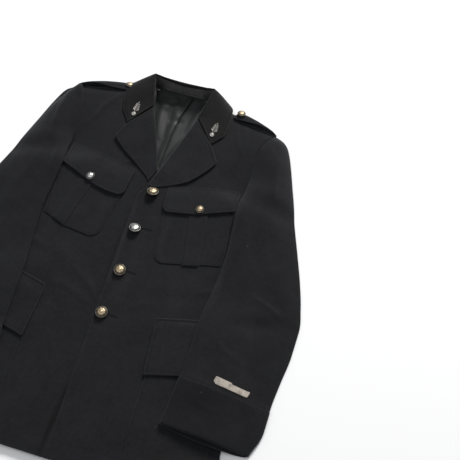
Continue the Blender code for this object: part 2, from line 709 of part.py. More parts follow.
def shoulder_point(s, reach):
    """A point of the front's surface at the shoulder, reach millimetres along it from the seam."""
    path = []
    for y_inner, over_x, _, y_outer, x_outer, crown, outer_height in FRONT_ROWS[:HEM_ROWS + 3:-1]:
        x, y = over_x + (x_outer - over_x) * s, y_inner + (y_outer - y_inner) * s
        rise = math.sin(math.pi / 2 * min((x_outer - x) / SIDE_FALL, 1))
        path.append(Vector((x, y, outer_height + (crown - outer_height) * rise)))
    for a, b in zip(path, path[1:]):
        length = (b - a).length
        if reach <= length:
            return a.lerp(b, reach / length)
        reach -= length
    return path[-1]


def make_epaulettes(cloth):
    """Straps that lie along the shoulder and fold down behind it."""
    for side_name, side in (("left", 1), ("right", -1)):
        outer = []
        for number, (s, reach, arc) in enumerate(EPAULETTE_ROWS):
            s += EPAULETTE_NECK[side_name] if number < 2 else 0
            edge = shoulder_point(s, 0)
            steps = [(reach + arc) * part for part in EPAULETTE_ACROSS] + list(EPAULETTE_EDGE)
            out = Vector(SHOULDER_OUT).normalized() * EPAULETTE_CLEAR
            row = [shoulder_point(s, step) + Vector((0, 0, EPAULETTE_CLEAR)) + out for step in steps]
            row.append(Vector((edge.x, edge.y, EPAULETTE_BOTTOM)) + out)
            outer.append(row[::-1])
        outer = [list(column) for column in zip(*outer)][::-1]
        normals = grid_normals(outer)
        top = offset(outer, normals, EPAULETTE_WOOL)
        wall("epaulette_" + side_name, top, outer, cloth, side)


def make_trims(gilt, silver, braid):
    """Buttons, collar badges and the bar on the sleeve."""
    large = button_profile(LARGE_BUTTON, *LARGE_SHANK)
    small = button_profile(SMALL_BUTTON, *SMALL_SHANK)
    for number, (x, y, tilt) in enumerate(FRONT_BUTTONS, 1):
        z = support(["front_left", "lapel_left"], x, y, LARGE_SHANK[0]) + GAP
        z += LARGE_SHANK[0] * abs(math.sin(math.radians(tilt)))
        finish = silver if tilt else gilt
        turned(f"front_button_{number}", large, (x, y, z), finish, tilt)
    for side_name, side, finish in (("left", 1, gilt), ("right", -1, silver)):
        x, y = BREAST_POCKETS[side_name]["button"]
        z = support(["breast_flap_" + side_name], x * side, y, SMALL_SHANK[0]) + GAP
        turned("breast_button_" + side_name, small, (x * side, y, z), finish)
        at = shoulder_point(*EPAULETTE_BUTTON[side_name])
        strap = ["epaulette_" + side_name]
        near = SMALL_SHANK[0]
        ahead, z, behind = (height_on(strap, at.x * side, at.y + step) for step in (-near, 0, near))
        lean = math.atan2(ahead - behind, 2 * near)
        lift = 2.5 * GAP
        at = (at.x * side, at.y + lift * math.sin(lean), z + lift * math.cos(lean))
        turned("epaulette_button_" + side_name, small, at, gilt, -math.degrees(lean))
    for side_name, ((x, y), turn) in BADGES.items():
        outline = badge_outline(x, y, turn)
        laid("collar_badge_" + side_name, outline, ["collar_leaf"], silver, GAP, BADGE_THICKNESS)
    laid("sleeve_bar_left", list(SLEEVE_BAR), ["top_sleeve_left"], braid, GAP, BRAID_THICKNESS)


def badge_outline(x, y, turn):
    """A disc with a pointed spray above it."""
    shape = []
    for n in range(9):
        angle = math.radians(125 + 290 * n / 8)
        shape.append((BADGE_DISC * math.cos(angle), BADGE_DISC * math.sin(angle)))
    shape += [*BADGE_SPRAY, (0, BADGE_TIP)] + [(-across, up) for across, up in BADGE_SPRAY[::-1]]
    c, s = math.cos(math.radians(turn)), math.sin(math.radians(turn))
    return [(x + a * c - b * s, y + a * s + b * c) for a, b in shape]


def main():
    for old in list(bpy.data.objects):
        bpy.data.objects.remove(old)
    cloth = material("wool", (0.018, 0.018, 0.021), 0.9)
    lining_cloth = material("lining", (0.045, 0.052, 0.048), 0.4)
    gilt = material("gilt", (0.42, 0.33, 0.16), 0.4, 1.0)
    silver = material("silver", (0.5, 0.5, 0.48), 0.35, 1.0)
    braid = material("braid", (0.42, 0.39, 0.33), 0.6)
    make_body(cloth, lining_cloth)
    make_lapels(cloth)
    make_pockets(cloth)
    make_collar(cloth)
    for side_name, side in (("left", 1), ("right", -1)):
        make_sleeve(side_name, side, cloth)
    make_epaulettes(cloth)
    make_trims(gilt, silver, braid)


main()
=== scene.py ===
"""The look of a dark wool uniform tunic laid on its back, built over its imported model.

Plan tables are in millimetres: X across the chest to the wearer's left, Y up to the collar with
Y = 0 at the top button, Z up from the table. metres() turns them into the model's frame.
"""

import math

import bmesh
import bpy
import numpy as np
from mathutils import Matrix, Vector
from mathutils.bvhtree import BVHTree
from mathutils.geometry import delaunay_2d_cdt


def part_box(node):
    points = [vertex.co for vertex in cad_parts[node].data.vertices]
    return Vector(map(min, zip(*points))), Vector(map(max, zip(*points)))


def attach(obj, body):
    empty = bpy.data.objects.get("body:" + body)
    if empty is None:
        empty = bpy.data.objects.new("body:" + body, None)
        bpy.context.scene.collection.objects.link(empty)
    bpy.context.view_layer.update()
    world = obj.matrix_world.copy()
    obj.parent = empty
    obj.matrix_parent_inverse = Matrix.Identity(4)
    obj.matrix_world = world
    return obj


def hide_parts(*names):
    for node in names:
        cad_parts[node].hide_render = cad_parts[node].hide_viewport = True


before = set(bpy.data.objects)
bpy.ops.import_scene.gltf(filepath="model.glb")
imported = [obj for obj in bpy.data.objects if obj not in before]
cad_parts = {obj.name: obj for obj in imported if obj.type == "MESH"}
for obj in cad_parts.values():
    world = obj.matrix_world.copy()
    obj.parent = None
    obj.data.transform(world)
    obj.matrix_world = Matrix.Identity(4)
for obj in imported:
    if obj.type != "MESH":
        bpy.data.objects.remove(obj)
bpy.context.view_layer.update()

MIDDLE_Y = 154.0
GAP = 0.3
WOOL = 2.2
POCKET_WOOL = 1.9
STRAP_WOOL = 1.9
STAND_WOOL = 1.8
LINING = 1.0
PLEAT_RAISE = 1.7
OVERLAP_RAISE = WOOL + GAP + 0.25
OVERLAP_BLEND = (22, 75)
SIDE_FALL = 110
DRAPE_REACH = 24
SIDES = (("left", 1), ("right", -1))

# Rings of points beside an edge, in millimetres in from it
RINGS = (0, 0.22, 0.55, 1.0, 1.6, 2.3, 3.2, 4.2, 5.1, 5.7, 6.2, 6.8, 7.6, 9, 11, 13.5)
ON_THE_EDGE = 2e-3
FINE_RINGS = (0, 0.2, 0.5, 0.9, 1.4, 2.0, 2.8, 3.6, 4.3, 4.8, 5.3, 6.1, 7.4, 9)
LINE_RINGS = (-2.2, -1.4, -0.8, -0.35, 0, 0.35, 0.8, 1.4, 2.2)  # on both sides of a line

FRONT_ROWS = (
    ("y_inner", "over_x", "under_x", "y_outer", "x_outer", "crown", "outer_height"),
    (-567, -19, -19, -563, 304, 11.5, 4.9),
    (-470, -19, -19, -470, 291, 13.0, 4.9),
    (-370, -19, -19, -370, 276, 15.0, 4.9),
    (-272, -19, -19, -272, 263, 18.0, 4.9),
    (-180, -19, -19, -180, 257, 20.0, 4.9),
    (-90, -19, -19, -90, 260, 22.0, 4.9),
    (-22, -18, -19, -30, 267, 24.0, 4.9),
    (4, -2, -17, -2, 270, 25.0, 4.9),
    (38, 7, -6, 45, 200, 26.0, 6.5),
    (68, 16, 4.5, 75, 188.5, 27.0, 12.0),
    (105, 28, 18, 105, 188, 28.0, 18.0),
    (142, 39, 32, 132, 188.5, 28.5, 22.0),
    (178, 48, 46, 152, 190.5, 28.5, 24.0),
    (203, 50, 50, 170, 197, 28.0, 24.0),
    (219, 54, 54, 182, 204.5, 24.0, 21.0),
    (229, 56, 56, 190, 210, 15.0, 13.0),
    (234, 58, 58, 195, 212.5, 6.6, 6.2),
)
BACK_NECK = ((58, 234), (54, 234.5), (30, 231), (0, 230))
ARMHOLE_FOOT = ((190, 66), (200, 45), (226, 20), (252, 6))

SLEEVE_ROWS = (
    ("x_inner", "y_inner", "x_outer", "y_outer", "seam_height", "rise", "x_turned_under"),
    (212.9, 195, 229, 188, 6.6, 0.8, 216),
    (210.4, 190, 237, 181, 13.5, 1.0, 214),
    (204.9, 182, 244, 172, 21.5, 1.2, 208),
    (197.4, 170, 252, 156, 24.5, 1.4, 200),
    (190.9, 152, 260, 136, 24.5, 1.6, 194),
    (188.9, 132, 267, 117, 22.5, 1.8, 192),
    (188.4, 105, 275, 94, 18.6, 2.0, 191),
    (188.9, 75, 285, 66, 14.8, 4.0, 192),
    (188.5, 52, 293, 42, 14.8, 6.0, 204),
    (186, 28, 300, 18, 14.8, 7.5, 238),
    (184, 2, 308, -4, 14.8, 9.0, 293),
    (188, -50, 326, -52, 14.8, 9.0, 302),
    (191, -100, 344, -102, 14.8, 9.0, 316),
    (189, -150, 359, -152, 14.8, 9.0, 329),
    (184, -198, 368, -198, 14.8, 9.0, 338),
    (180, -250, 367, -252, 14.8, 9.0, 337),
    (179, -300, 361, -306, 14.8, 9.0, 331),
    (177.5, -347, 356.5, -359, 14.8, 9.0, 326.5),
    (173, -400, 356, -406, 14.8, 6.5, 326),
    (168, -445, 341, -455, 14.8, 3.5, 311),
)
SEAM_ROWS = (6.2, 9.6)  # over these rows the sleeve leaves the armhole seam and lies over the side
UNDERARM_ROW = 10
CUFF_ROW = 17.15

COLLAR_ROWS = (
    # neck seam, roll line, outer edge
    ((50.5, 177, 29.4), (50.5, 178, 32.6), (91.5, 128.5, 31.8)),
    ((52, 190, 29.4), (54, 189, 36), (113, 154, 31.8)),
    ((53, 206, 29.0), (58, 207, 40), (115, 180, 32)),
    ((57, 221, 24.5), (62, 225, 43), (114, 203, 31)),
    ((60, 230, 16), (65, 238, 44), (112, 218, 25)),
    ((54, 236.5, 5.5), (65, 247, 44), (98, 237, 12)),
    ((35, 237.5, 4.5), (44, 245.5, 43), (60, 258, 3.5)),
    ((0, 237.5, 4.5), (0, 243.5, 42), (0, 259, 3.5)),
)

LAPEL_OVER = (
    (49.5, 177), (39.6, 142), (28.6, 105), (16.6, 68), (7.6, 38), (2.5, 20), (-1.2, 5), (4, 1.5), (18, 6),
    (38, 14.5), (58, 24.5), (74, 34.5), (87, 48), (98, 62), (108, 76), (116, 91.5), (94, 125.5), (90.6, 128),
)
LAPEL_UNDER = (
    (49.5, 177), (32.6, 142), (18.6, 105), (5.1, 68), (-3.4, 44), (1.6, 26), (6, 14), (12, 22),
    (39, 42), (70, 63), (90, 79), (102, 91.5), (89, 121.5), (86.6, 127.5),
)
BREAST_POCKETS = {
    # corners: x, y, radius; pleat lines: x0, y0, x1, y1
    "left": {
        "body": (
            (44, -20, 0), (55, -150, 20), (112.5, -136.5, 0), (112, -139.8, 1), (145.5, -132, 1),
            (146.5, -128.5, 0), (187, -119, 6), (186, 12, 0),
        ),
        "flap": ((38, 16, 4), (41, -44, 13), (112, -30, 0), (181, -3, 4), (179, 50, 4)),
        "pleat": ((95, -24, 115, -141), (130, -10, 144, -131)),
        "button": (113.5, -18),
    },
    "right": {
        "body": ((44, -5, 0), (67, -132.5, 22), (137, -124, 0), (186, -105, 6), (184, 20, 0)),
        "flap": ((38, 32, 4), (44, -34, 15), (80, -31, 0), (105, -26, 0), (186, 7, 4), (184, 62, 4)),
        "pleat": ((111, -20, 138, -127), (143, -10, 167, -115)),
        "button": (119.8, -10),
    },
}
LOWER_POCKETS = {
    "left": {
        "body": (
            (101, -262, 0), (113, -350, 0), (113, -480, 0),
            (128, -548, 30), (272, -548, 30), (258, -226, 0),
        ),
        "flap": ((98, -255, 2), (109, -369, 3), (262, -330, 3), (254, -217, 2)),
    },
    "right": {
        "body": (
            (130, -257, 0), (139, -350, 0), (139, -480, 0),
            (150, -548, 30), (272, -548, 30), (260, -226, 0),
        ),
        "flap": ((127, -250, 2), (136, -362, 3), (264, -330, 3), (256, -217, 2)),
    },
}
FRONT_BUTTONS = (
    # x, y, tilt in degrees, finish
    (11.5, -9, -26, "gilt"),
    (1.5, -93, -24, "silver"),
    (1, -183, 0, "gilt"),
    (-5, -274.5, 0, "gilt"),
)
BUTTONHOLES = ((24, -86), (22, -181), (15, -275))  # middles, left of the lower three buttons
BADGES = {"right": ((-81, 149), -6), "left": ((88, 148), -8)}
SLEEVE_BAR = (
    (243.5, -334.5), (241, -345), (246, -350), (278, -353), (308.8, -354.3), (312.6, -342),
    (276.5, -340.6), (275, -338.2),
)

# Folds and creases: along a line from x0, y0 to x1, y1 that bows sideways, fading at both ends
FOLDS = {
    "front_right": (
        # x0, y0, x1, y1, half width, height, bow
        (-60, -285, -190, -190, 38, 2.4, 0),
        (-75, -205, -185, -150, 34, 1.8, 0),
        (-62, -330, -78, -540, 36, 2.0, 0),
        (-21.5, -430, -29, -575, 6, -5.0, 0),
        (-23, -254, -96, -196, 7, 1.6, 5),
        (-24, -244, -80, -176, 6, 1.3, -4),
        (-30, -268, -130, -236, 9, 1.4, 7),
        (-108, 203, -158, 118, 9, 2.1, 7),
        (-140, 190, -172, 100, 8, 1.3, -4),
        (-40, -300, -52, -420, 10, 1.1, 3),
        (-150, -180, -235, -160, 12, 1.6, 5),
        (-30, 60, -90, 20, 8, 0.8, 3),
    ),
    "back_lining": (
        (-34, 222, -22, 120, 15, 3.4, 4),
        (-8, 226, -8, 130, 11, 2.6, -5),
        (40, 150, 8, 70, 9, 3.2, 2),
        (50, 226, 34, 150, 12, 2.8, 3),
        (-40, 198, 10, 214, 12, 2.2, 5),
        (-14, 168, 18, 176, 10, -2.0, 0),
    ),
    "front_left": (
        (62, -285, 175, -200, 38, 2.2, 0),
        (70, -200, 170, -165, 32, 1.6, 0),
        (60, -340, 66, -545, 36, 2.0, 0),
        (28, -262, 96, -224, 9, 1.1, -5),
        (94, -153, 122, -270, 12, 1.4, 4),
        (148, 208, 150, 88, 11, 1.8, -5),
        (125, 196, 168, 120, 8, 1.3, 6),
        (62, -120, 67, -29, 6, 1.0, 2),
        (24, -120, 44, -200, 8, 0.8, -3),
        (40, -300, 92, -400, 12, 1.3, 6),
        (150, -190, 236, -160, 12, 1.6, -5),
    ),
    "top_sleeve_left": (
        (205, 25, 262, -115, 24, -2.0, 0),
        (228, -240, 352, -188, 26, -3.6, 0),
        (300, -60, 322, -160, 22, 2.2, 0),
        (222, 62, 206, -110, 11, 2.4, -4),
        (207, -104, 200, -205, 9, 2.1, 3),
        (262, -160, 330, -186, 5, 2.1, -5),
        (312, -132, 300, -224, 7, 1.3, -6),
        (236, 140, 252, 40, 10, 1.6, 4),
        (200, -250, 290, -300, 9, 1.3, 8),
        (330, -230, 340, -320, 9, 1.3, -4),
        (200, -386, 292, -400, 8, 1.0, 4),
    ),
    "top_sleeve_right": (
        (-207, 40, -248, -95, 24, -2.0, 0),
        (-222, -215, -345, -225, 26, -3.4, 0),
        (-285, 10, -325, -140, 24, 2.4, 0),
        (-228, 176, -229, 46, 10, 2.6, 5),
        (-212, 120, -206, -30, 8, 1.6, -4),
        (-262, -170, -335, -180, 6, 1.9, 6),
        (-210, -110, -204, -190, 9, 1.8, -3),
        (-205, -260, -300, -290, 9, 1.4, -7),
    ),
}
FOLD_ENDS = 0.7
PAINTED_LIGHT_AND_RUBBING = {
    # x0, y0, x1, y1, half width, how much, bow: areas painted paler, as rubbed wear and as painted highlight
    # along lit folds and edges, or painted darker where below 0, as painted shade
    "top_sleeve_left": (
        (184, 60, 196, -215, 19, 0.50, 8), (250, -154, 334, -188, 8, 0.34, -6),
        (240, 230, 300, -420, 120, -0.16, 0),
    ),
    "top_sleeve_right": ((-215, 230, -300, -420, 130, -0.26, 0),),
    "cuff_left": ((220, -300, 250, -520, 170, -0.30, 0),),
    "lapel_right": ((-40, 200, -70, 0, 90, -0.22, 0),),
    "front_left": (
        (30, -100, 8, -250, 26, 0.14, 0), (110, -160, 130, -250, 22, 0.10, 0),
        (-13, -20, -14, -230, 6, 0.40, 0), (14, 12, 10, -40, 14, -0.5, 0),
    ),
    "front_right": (
        (-25, -240, -90, -190, 14, 0.12, 4), (-20, -415, -30, -590, 7, -0.9, 0),
        (-23, -40, -23, -240, 5, -0.5, 0),
    ),
    "breast_pocket_left": ((58, -40, 66, -140, 14, 0.20, 3), (118, -20, 124, -150, 60, 0.08, 0)),
    "breast_pocket_right": ((-70, -30, -90, -120, 16, 0.12, 0),),
    "breast_flap_left": ((30, 14, 187, 52, 3.2, -0.22, 0),),
    "breast_flap_right": ((-30, 29, -192, 65, 3.2, -0.22, 0),),
    "collar_leaf": ((-56, 250, -112, 120, 56, -0.25, 0),),
    # painted shade at the stand's ends, where its paler painted colour would show
    "collar_stand": ((-75, 235, -38, 235, 16, -0.95, 0), (75, 235, 38, 235, 16, -0.95, 0)),
    "lower_flap_left": ((104, -262, 250, -226, 9, 0.28, 0), (60, -310, 300, -280, 70, 0.08, 0)),
}

PLACES = {}  # name: the finished object of each piece
STITCH_LINES = []  # runs of points, in plan millimetres, that stitches follow


def metres(points):
    """Plan millimetres as the model's metres."""
    return (np.asarray(points, float) + (0, MIDDLE_Y, 0)) * 0.001


def curve(values):
    """A smooth curve through evenly numbered values, which never overshoots them."""
    y = np.asarray(values, float)
    steps = np.diff(y)
    slopes = np.zeros(len(y))
    before, after = steps[:-1], steps[1:]
    same = before * after > 0
    slopes[1:-1][same] = 2 * before[same] * after[same] / (before[same] + after[same])
    slopes[0], slopes[-1] = steps[0], steps[-1]

    def at(v):
        v = np.clip(np.asarray(v, float), 0, len(y) - 1)
        k = np.minimum(v.astype(int), len(y) - 2)
        t = v - k
        rise = (3 - 2 * t) * t * t
        straight = y[k] * (1 - rise) + y[k + 1] * rise
        return straight + slopes[k] * t * (1 - t) ** 2 - slopes[k + 1] * t * t * (1 - t)

    return at


def table(rows):
    """A smooth curve for each column that the first row names."""
    return {name: curve(column) for name, column in zip(rows[0], zip(*rows[1:]))}


FRONT, SLEEVE = table(FRONT_ROWS), table(SLEEVE_ROWS)
FRONT_LAST, SLEEVE_LAST = len(FRONT_ROWS) - 2, len(SLEEVE_ROWS) - 2


def blend(low, high, value):
    """0 below low, 1 above high, smooth between."""
    t = np.clip((value - low) / (high - low), 0, 1)
    return t * t * (3 - 2 * t)


def bell(value, middle, width):
    """1 at the middle, falling away smoothly on both sides."""
    return np.exp(-(((value - middle) / width) ** 2))


def arch(share):
    """A half wave: 0 at shares 0 and 1, and 1 halfway."""
    return np.sin(math.pi * np.clip(share, 0, 1))


def rounding(edge, radius):
    """The quarter round of a border: 0 at the edge, 1 from its radius inwards."""
    return np.sqrt(1 - (1 - np.clip(edge / radius, 0, 1)) ** 2)


def folds(piece, x, y, rows=FOLDS):
    """How far folds and creases raise a piece, or what another table of such lines adds up to."""
    total = np.zeros(np.broadcast(x, y).shape)
    for x0, y0, x1, y1, half_width, height, bow in rows.get(piece, ()):
        line = np.array((x1 - x0, y1 - y0), float)
        length = math.hypot(*line)
        along = ((x - x0) * line[0] + (y - y0) * line[1]) / length ** 2
        sideways = ((x - x0) * line[1] - (y - y0) * line[0]) / length
        inside = (along > 0) & (along < 1)
        bowed = arch(along)
        apart = np.clip(np.abs(sideways - bow * bowed) / half_width, 0, 1)
        total += np.where(inside, height * np.cos(math.pi / 2 * apart) ** 2 * bowed ** FOLD_ENDS, 0)
    return total


def ripple(x, y, size, seed):
    """A smooth uneven surface, about -1 to 1, with waves about this long."""
    waves = np.random.default_rng(seed)
    total = np.zeros(np.broadcast(x, y).shape)
    for _ in range(7):
        angle, phase = waves.uniform(0, 2 * math.pi, 2)
        k = 2 * math.pi / (size * waves.uniform(0.7, 1.6))
        total += np.sin(k * (x * math.cos(angle) + y * math.sin(angle)) + phase)
    return total / 4.2


def seam(edge, at, ridge, groove):
    """The swell of a turned edge and the line that its stitching presses in."""
    return ridge * bell(edge, 2.6, 2.2) - groove * bell(edge, at, 0.75)


def run_along(points):
    """How far along a line each of its points lies."""
    return np.concatenate(([0], np.cumsum(np.linalg.norm(np.diff(points, axis=0), axis=1))))


def spread(length, step, rings=RINGS):
    """Shares of a length: close at its ends, and then evenly spaced."""
    near = [r for r in rings if r < length / 2 - step]
    start, end = near[-1], length - near[-1]
    count = max(int(round((end - start) / step)), 1)
    middle = [start + (end - start) * n / count for n in range(1, count)]
    return np.array([*near, *middle, *(length - r for r in near[::-1])]) / length


def even_rows(points, numbers, step, rings, length=None):
    """Row numbers evenly spaced by length along a line of points, and close at its ends."""
    run = run_along(points)
    return np.interp(spread(length or run[-1], step, rings) * run[-1], run, numbers)


def front_row_at(x, y, side):
    """The row number of a place on a front, on the half towards +X."""
    inner = FRONT["over_x" if side > 0 else "under_x"]
    low, high = np.zeros_like(x), np.full_like(x, FRONT_LAST)
    for _ in range(26):
        v = (low + high) / 2
        a, b = inner(v), FRONT["x_outer"](v)
        u = np.clip((x - a) / (b - a), 0, 1)
        above = FRONT["y_inner"](v) * (1 - u) + FRONT["y_outer"](v) * u < y
        low, high = np.where(above, v, low), np.where(above, high, v)
    return v


def front_place(v, u, side):
    """Where row v and share u of a front's width lie, on the half towards +X."""
    inner, low = FRONT["over_x" if side > 0 else "under_x"](v), FRONT["y_inner"](v)
    return inner + (FRONT["x_outer"](v) - inner) * u, low + (FRONT["y_outer"](v) - low) * u


def body_height(v, x):
    """The height of the laid body at a row, before its overlap, folds and ripples."""
    rise = np.sin(math.pi / 2 * np.clip((FRONT["x_outer"](v) - x) / SIDE_FALL, 0, 1))
    return FRONT["outer_height"](v) + (FRONT["crown"](v) - FRONT["outer_height"](v)) * rise


def front_height(v, x, y, side):
    """The upper surface of a front at a row, on the half towards +X."""
    z = body_height(v, x)
    if side > 0:
        z = z + OVERLAP_RAISE * (1 - blend(*OVERLAP_BLEND, x)) * (1 - blend(30, 80, FRONT["y_inner"](v)))
    z = z + folds("front_left" if side > 0 else "front_right", x * side, y)
    flat = blend(0, 60, FRONT["x_outer"](v) - x)
    return z + (ripple(x * side, y, 95, 5) * 0.55 + ripple(x * side, y, 38, 6) * 0.22) * flat


def front_top(x, y, side):
    """The upper surface of a front at a signed place."""
    x, y = np.asarray(x, float) * side, np.asarray(y, float)
    return front_height(front_row_at(x, y, side), x, y, side)


def rounded(corners, steps=6):
    """A closed outline whose corners are arcs of their own radius."""
    outline = []
    for k, (x, y, radius) in enumerate(corners):
        here = Vector((x, y))
        if not radius:
            outline.append((x, y))
            continue
        before = (Vector(corners[k - 1][:2]) - here).normalized()
        after = (Vector(corners[(k + 1) % len(corners)][:2]) - here).normalized()
        half = before.angle(after) / 2
        reach = radius / math.tan(half)
        centre = here + (before + after).normalized() * radius / math.sin(half)
        first, last = here + before * reach - centre, here + after * reach - centre
        for n in range(steps + 1):
            outline.append(tuple(centre + first.lerp(last, n / steps).normalized() * radius))
    return outline


def sided(points, side):
    """Points of the half towards +X, put on their own side."""
    return [(x * side, y) for x, y, *_ in points]


def whole(half):
    """An outline from its half towards +X, whose last point lies in the middle."""
    return [*half, *((-x, y) for x, y in half[-2::-1])]


def signed_area(outline):
    """The area inside an outline, above 0 where it runs anticlockwise."""
    p = np.asarray(outline, float)
    q = np.roll(p, -1, axis=0)
    return (p[:, 0] * q[:, 1] - q[:, 0] * p[:, 1]).sum() / 2


def segments(line, closed=True):
    """The starts and ends of a line's segments."""
    p = np.asarray(line, float)
    return (p, np.roll(p, -1, axis=0)) if closed else (p[:-1], p[1:])


def resampled(outline, step, closed=True):
    """Points along an outline at about this spacing, its own corners kept."""
    points = []
    for a, b in zip(*segments(outline, closed)):
        count = max(int(np.linalg.norm(b - a) / step), 1)
        points += [a + (b - a) * n / count for n in range(count)]
    return np.array(points if closed else [*points, np.asarray(outline[-1], float)])


def within(outline, points):
    """Which points lie inside an outline."""
    result = np.zeros(len(points), bool)
    for a, b in zip(*segments(outline)):
        crosses = (a[1] > points[:, 1]) != (b[1] > points[:, 1])
        if crosses.any() and a[1] != b[1]:
            x = a[0] + (b[0] - a[0]) * (points[:, 1] - a[1]) / (b[1] - a[1])
            result ^= crosses & (points[:, 0] < x)
    return result


def distance(line, points, closed=True):
    """How far points lie from a line of segments."""
    best = np.full(len(points), 1e9)
    for a, b in zip(*segments(line, closed)):
        along = b - a
        t = np.clip(((points - a) @ along) / max(along @ along, 1e-12), 0, 1)
        best = np.minimum(best, np.hypot(*(points - a - t[:, None] * along).T))
    return best


def from_line(line, x, y):
    """How far places lie from an open line."""
    return distance(line, np.column_stack((x, y)), closed=False)


def inward(steps, outline):
    """Unit steps into an outline, square to steps along it."""
    left = np.stack((-steps[:, 1], steps[:, 0]), 1) / np.maximum(np.hypot(*steps.T), 1e-9)[:, None]
    return left * math.copysign(1, signed_area(outline))


def inset(outline, apart, step):
    """Points along an outline, moved in by this much, those near a corner left out."""
    p = resampled(outline, step)
    normal = inward(np.roll(p, -1, axis=0) - p, outline)
    before = np.roll(normal, 1, axis=0)
    mitre = (normal + before) / np.maximum(1 + (normal * before).sum(axis=1), 0.1)[:, None]
    moved = p + mitre * apart
    return moved[(distance(outline, moved) > apart * 0.97) & within(outline, moved)]


def paint_points(mesh, name, values):
    """Keeps a number at each point for the material to read."""
    mesh.attributes.new(name, "FLOAT", "POINT").data.foreach_set("value", np.asarray(values, np.float32))


def make_mesh(name, points, faces, finish, wear_grime_and_painted_light=None, sharp=None):
    """An object at the origin, from plan millimetres, with each point's wear, grime and painted light and
    shade.
    """
    mesh = bpy.data.meshes.new(name)
    mesh.from_pydata(metres(points).tolist(), [], [tuple(int(k) for k in face) for face in faces])
    mesh.materials.append(MATERIALS[finish])
    if wear_grime_and_painted_light is not None:
        # edge wear, plus the table's rubbing and painted highlight, and its painted shade where below 0
        paint_points(mesh, "wear_grime_and_painted_light", wear_grime_and_painted_light + folds(name, *np.asarray(points, float).T[:2], PAINTED_LIGHT_AND_RUBBING))
    mesh.shade_smooth()
    if sharp:
        mesh.set_sharp_from_angle(angle=math.radians(sharp))
    mesh.validate()
    return place(name, mesh)


def place(name, mesh):
    """Puts a piece in the scene; one that stands for a CAD node is named as its shown form."""
    piece = bpy.data.objects.new(name + "_shown" * (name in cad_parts), mesh)
    bpy.context.scene.collection.objects.link(piece)
    PLACES[name] = piece
    return piece


def weld(piece, fill=False):
    """Merges points that meet, and closes open ends."""
    shell = bmesh.new()
    shell.from_mesh(piece.data)
    bmesh.ops.remove_doubles(shell, verts=shell.verts, dist=1e-6)
    if fill:
        bmesh.ops.holes_fill(shell, edges=[e for e in shell.edges if e.is_boundary], sides=0)
    shell.to_mesh(piece.data)
    shell.free()


def grid_faces(count, width, start=0, closed=False, flip=False):
    """Quads of a grid of points."""
    faces = []
    for i in range(count - 1):
        for j in range(width if closed else width - 1):
            a, b = start + i * width + j, start + i * width + (j + 1) % width
            face = (a, b, b + width, a + width)
            faces.append(face[::-1] if flip else face)
    return faces


def handed(grid, side):
    """A grid of the half towards +X on its own side, its columns still running to +X."""
    grid[..., 0] *= side
    return grid[:, ::side]


def grid_normals(grid, closed):
    """The normals of a grid whose rows run up and whose columns run to +X."""
    if closed:
        across = np.roll(grid, -1, axis=1) - np.roll(grid, 1, axis=1)
    else:
        across = np.gradient(grid, axis=1)
    normal = np.cross(across, np.gradient(grid, axis=0))
    return normal / np.maximum(np.linalg.norm(normal, axis=2), 1e-12)[..., None]


def cloth_grid(name, grid, thickness, finish, closed=False, wear=1.0, skin=None):
    """A wall of cloth round a grid of points, with rounded borders."""
    count, width = grid.shape[:2]
    down = np.linalg.norm(np.diff(grid, axis=0), axis=2)
    from_foot = np.vstack((np.zeros(width), np.cumsum(down, axis=0)))
    edge = np.minimum(from_foot, from_foot[-1] - from_foot)
    if not closed:
        over = np.linalg.norm(np.diff(grid, axis=1), axis=2)
        from_side = np.hstack((np.zeros((count, 1)), np.cumsum(over, axis=1)))
        edge = np.minimum(edge, np.minimum(from_side, from_side[:, -1:] - from_side))
    share = rounding(edge, thickness * 0.55)
    normal = grid_normals(grid, closed)
    half = (thickness / 2 * share)[..., None]
    top, bottom = grid + normal * half, grid - normal * half
    if skin is not None:
        top = top + normal * (skin(edge) * share)[..., None]
    points = np.concatenate((top.reshape(-1, 3), bottom.reshape(-1, 3)))
    faces = grid_faces(count, width, 0, closed) + grid_faces(count, width, count * width, closed, True)
    wear_grime_and_painted_light = np.tile((np.exp(-edge / 1.3) * wear).ravel(), 2)
    weld(make_mesh(name, points, faces, finish, wear_grime_and_painted_light), fill=closed)


def panel_points(outline, spacing, rings, lines):
    """Border points of a panel, and those inside: its rings, close rows beside lines and a field."""
    border = resampled(outline, min(spacing, 3.0))
    sets = [inset(outline, apart, min(spacing, 2.0 + apart * 0.2)) for apart in rings[1:]]
    for x0, y0, x1, y1 in lines:
        run = np.array((x1 - x0, y1 - y0), float)
        length = math.hypot(*run)
        along = np.linspace(0, 1, int(length / 3) + 2)[:, None]
        aside = np.array((-run[1], run[0])) / length
        sets += [np.array((x0, y0)) + run * along + aside * apart for apart in LINE_RINGS]
    low, high = outline.min(axis=0), outline.max(axis=0)
    gx = np.arange(low[0] + spacing / 2, high[0], spacing)
    gy = np.arange(low[1] + spacing / 2, high[1], spacing * 0.87)
    field = np.array([(x + (spacing / 2 if n % 2 else 0), y) for n, y in enumerate(gy) for x in gx])
    clear = distance(outline, field) > rings[-1] + spacing * 0.4
    for x0, y0, x1, y1 in lines:
        clear &= distance([(x0, y0), (x1, y1)], field, closed=False) > LINE_RINGS[-1] + spacing * 0.4
    rest = np.concatenate([*sets, field[clear]])
    return border, rest[within(outline, rest) & (distance(outline, rest) > rings[1] * 0.5)]


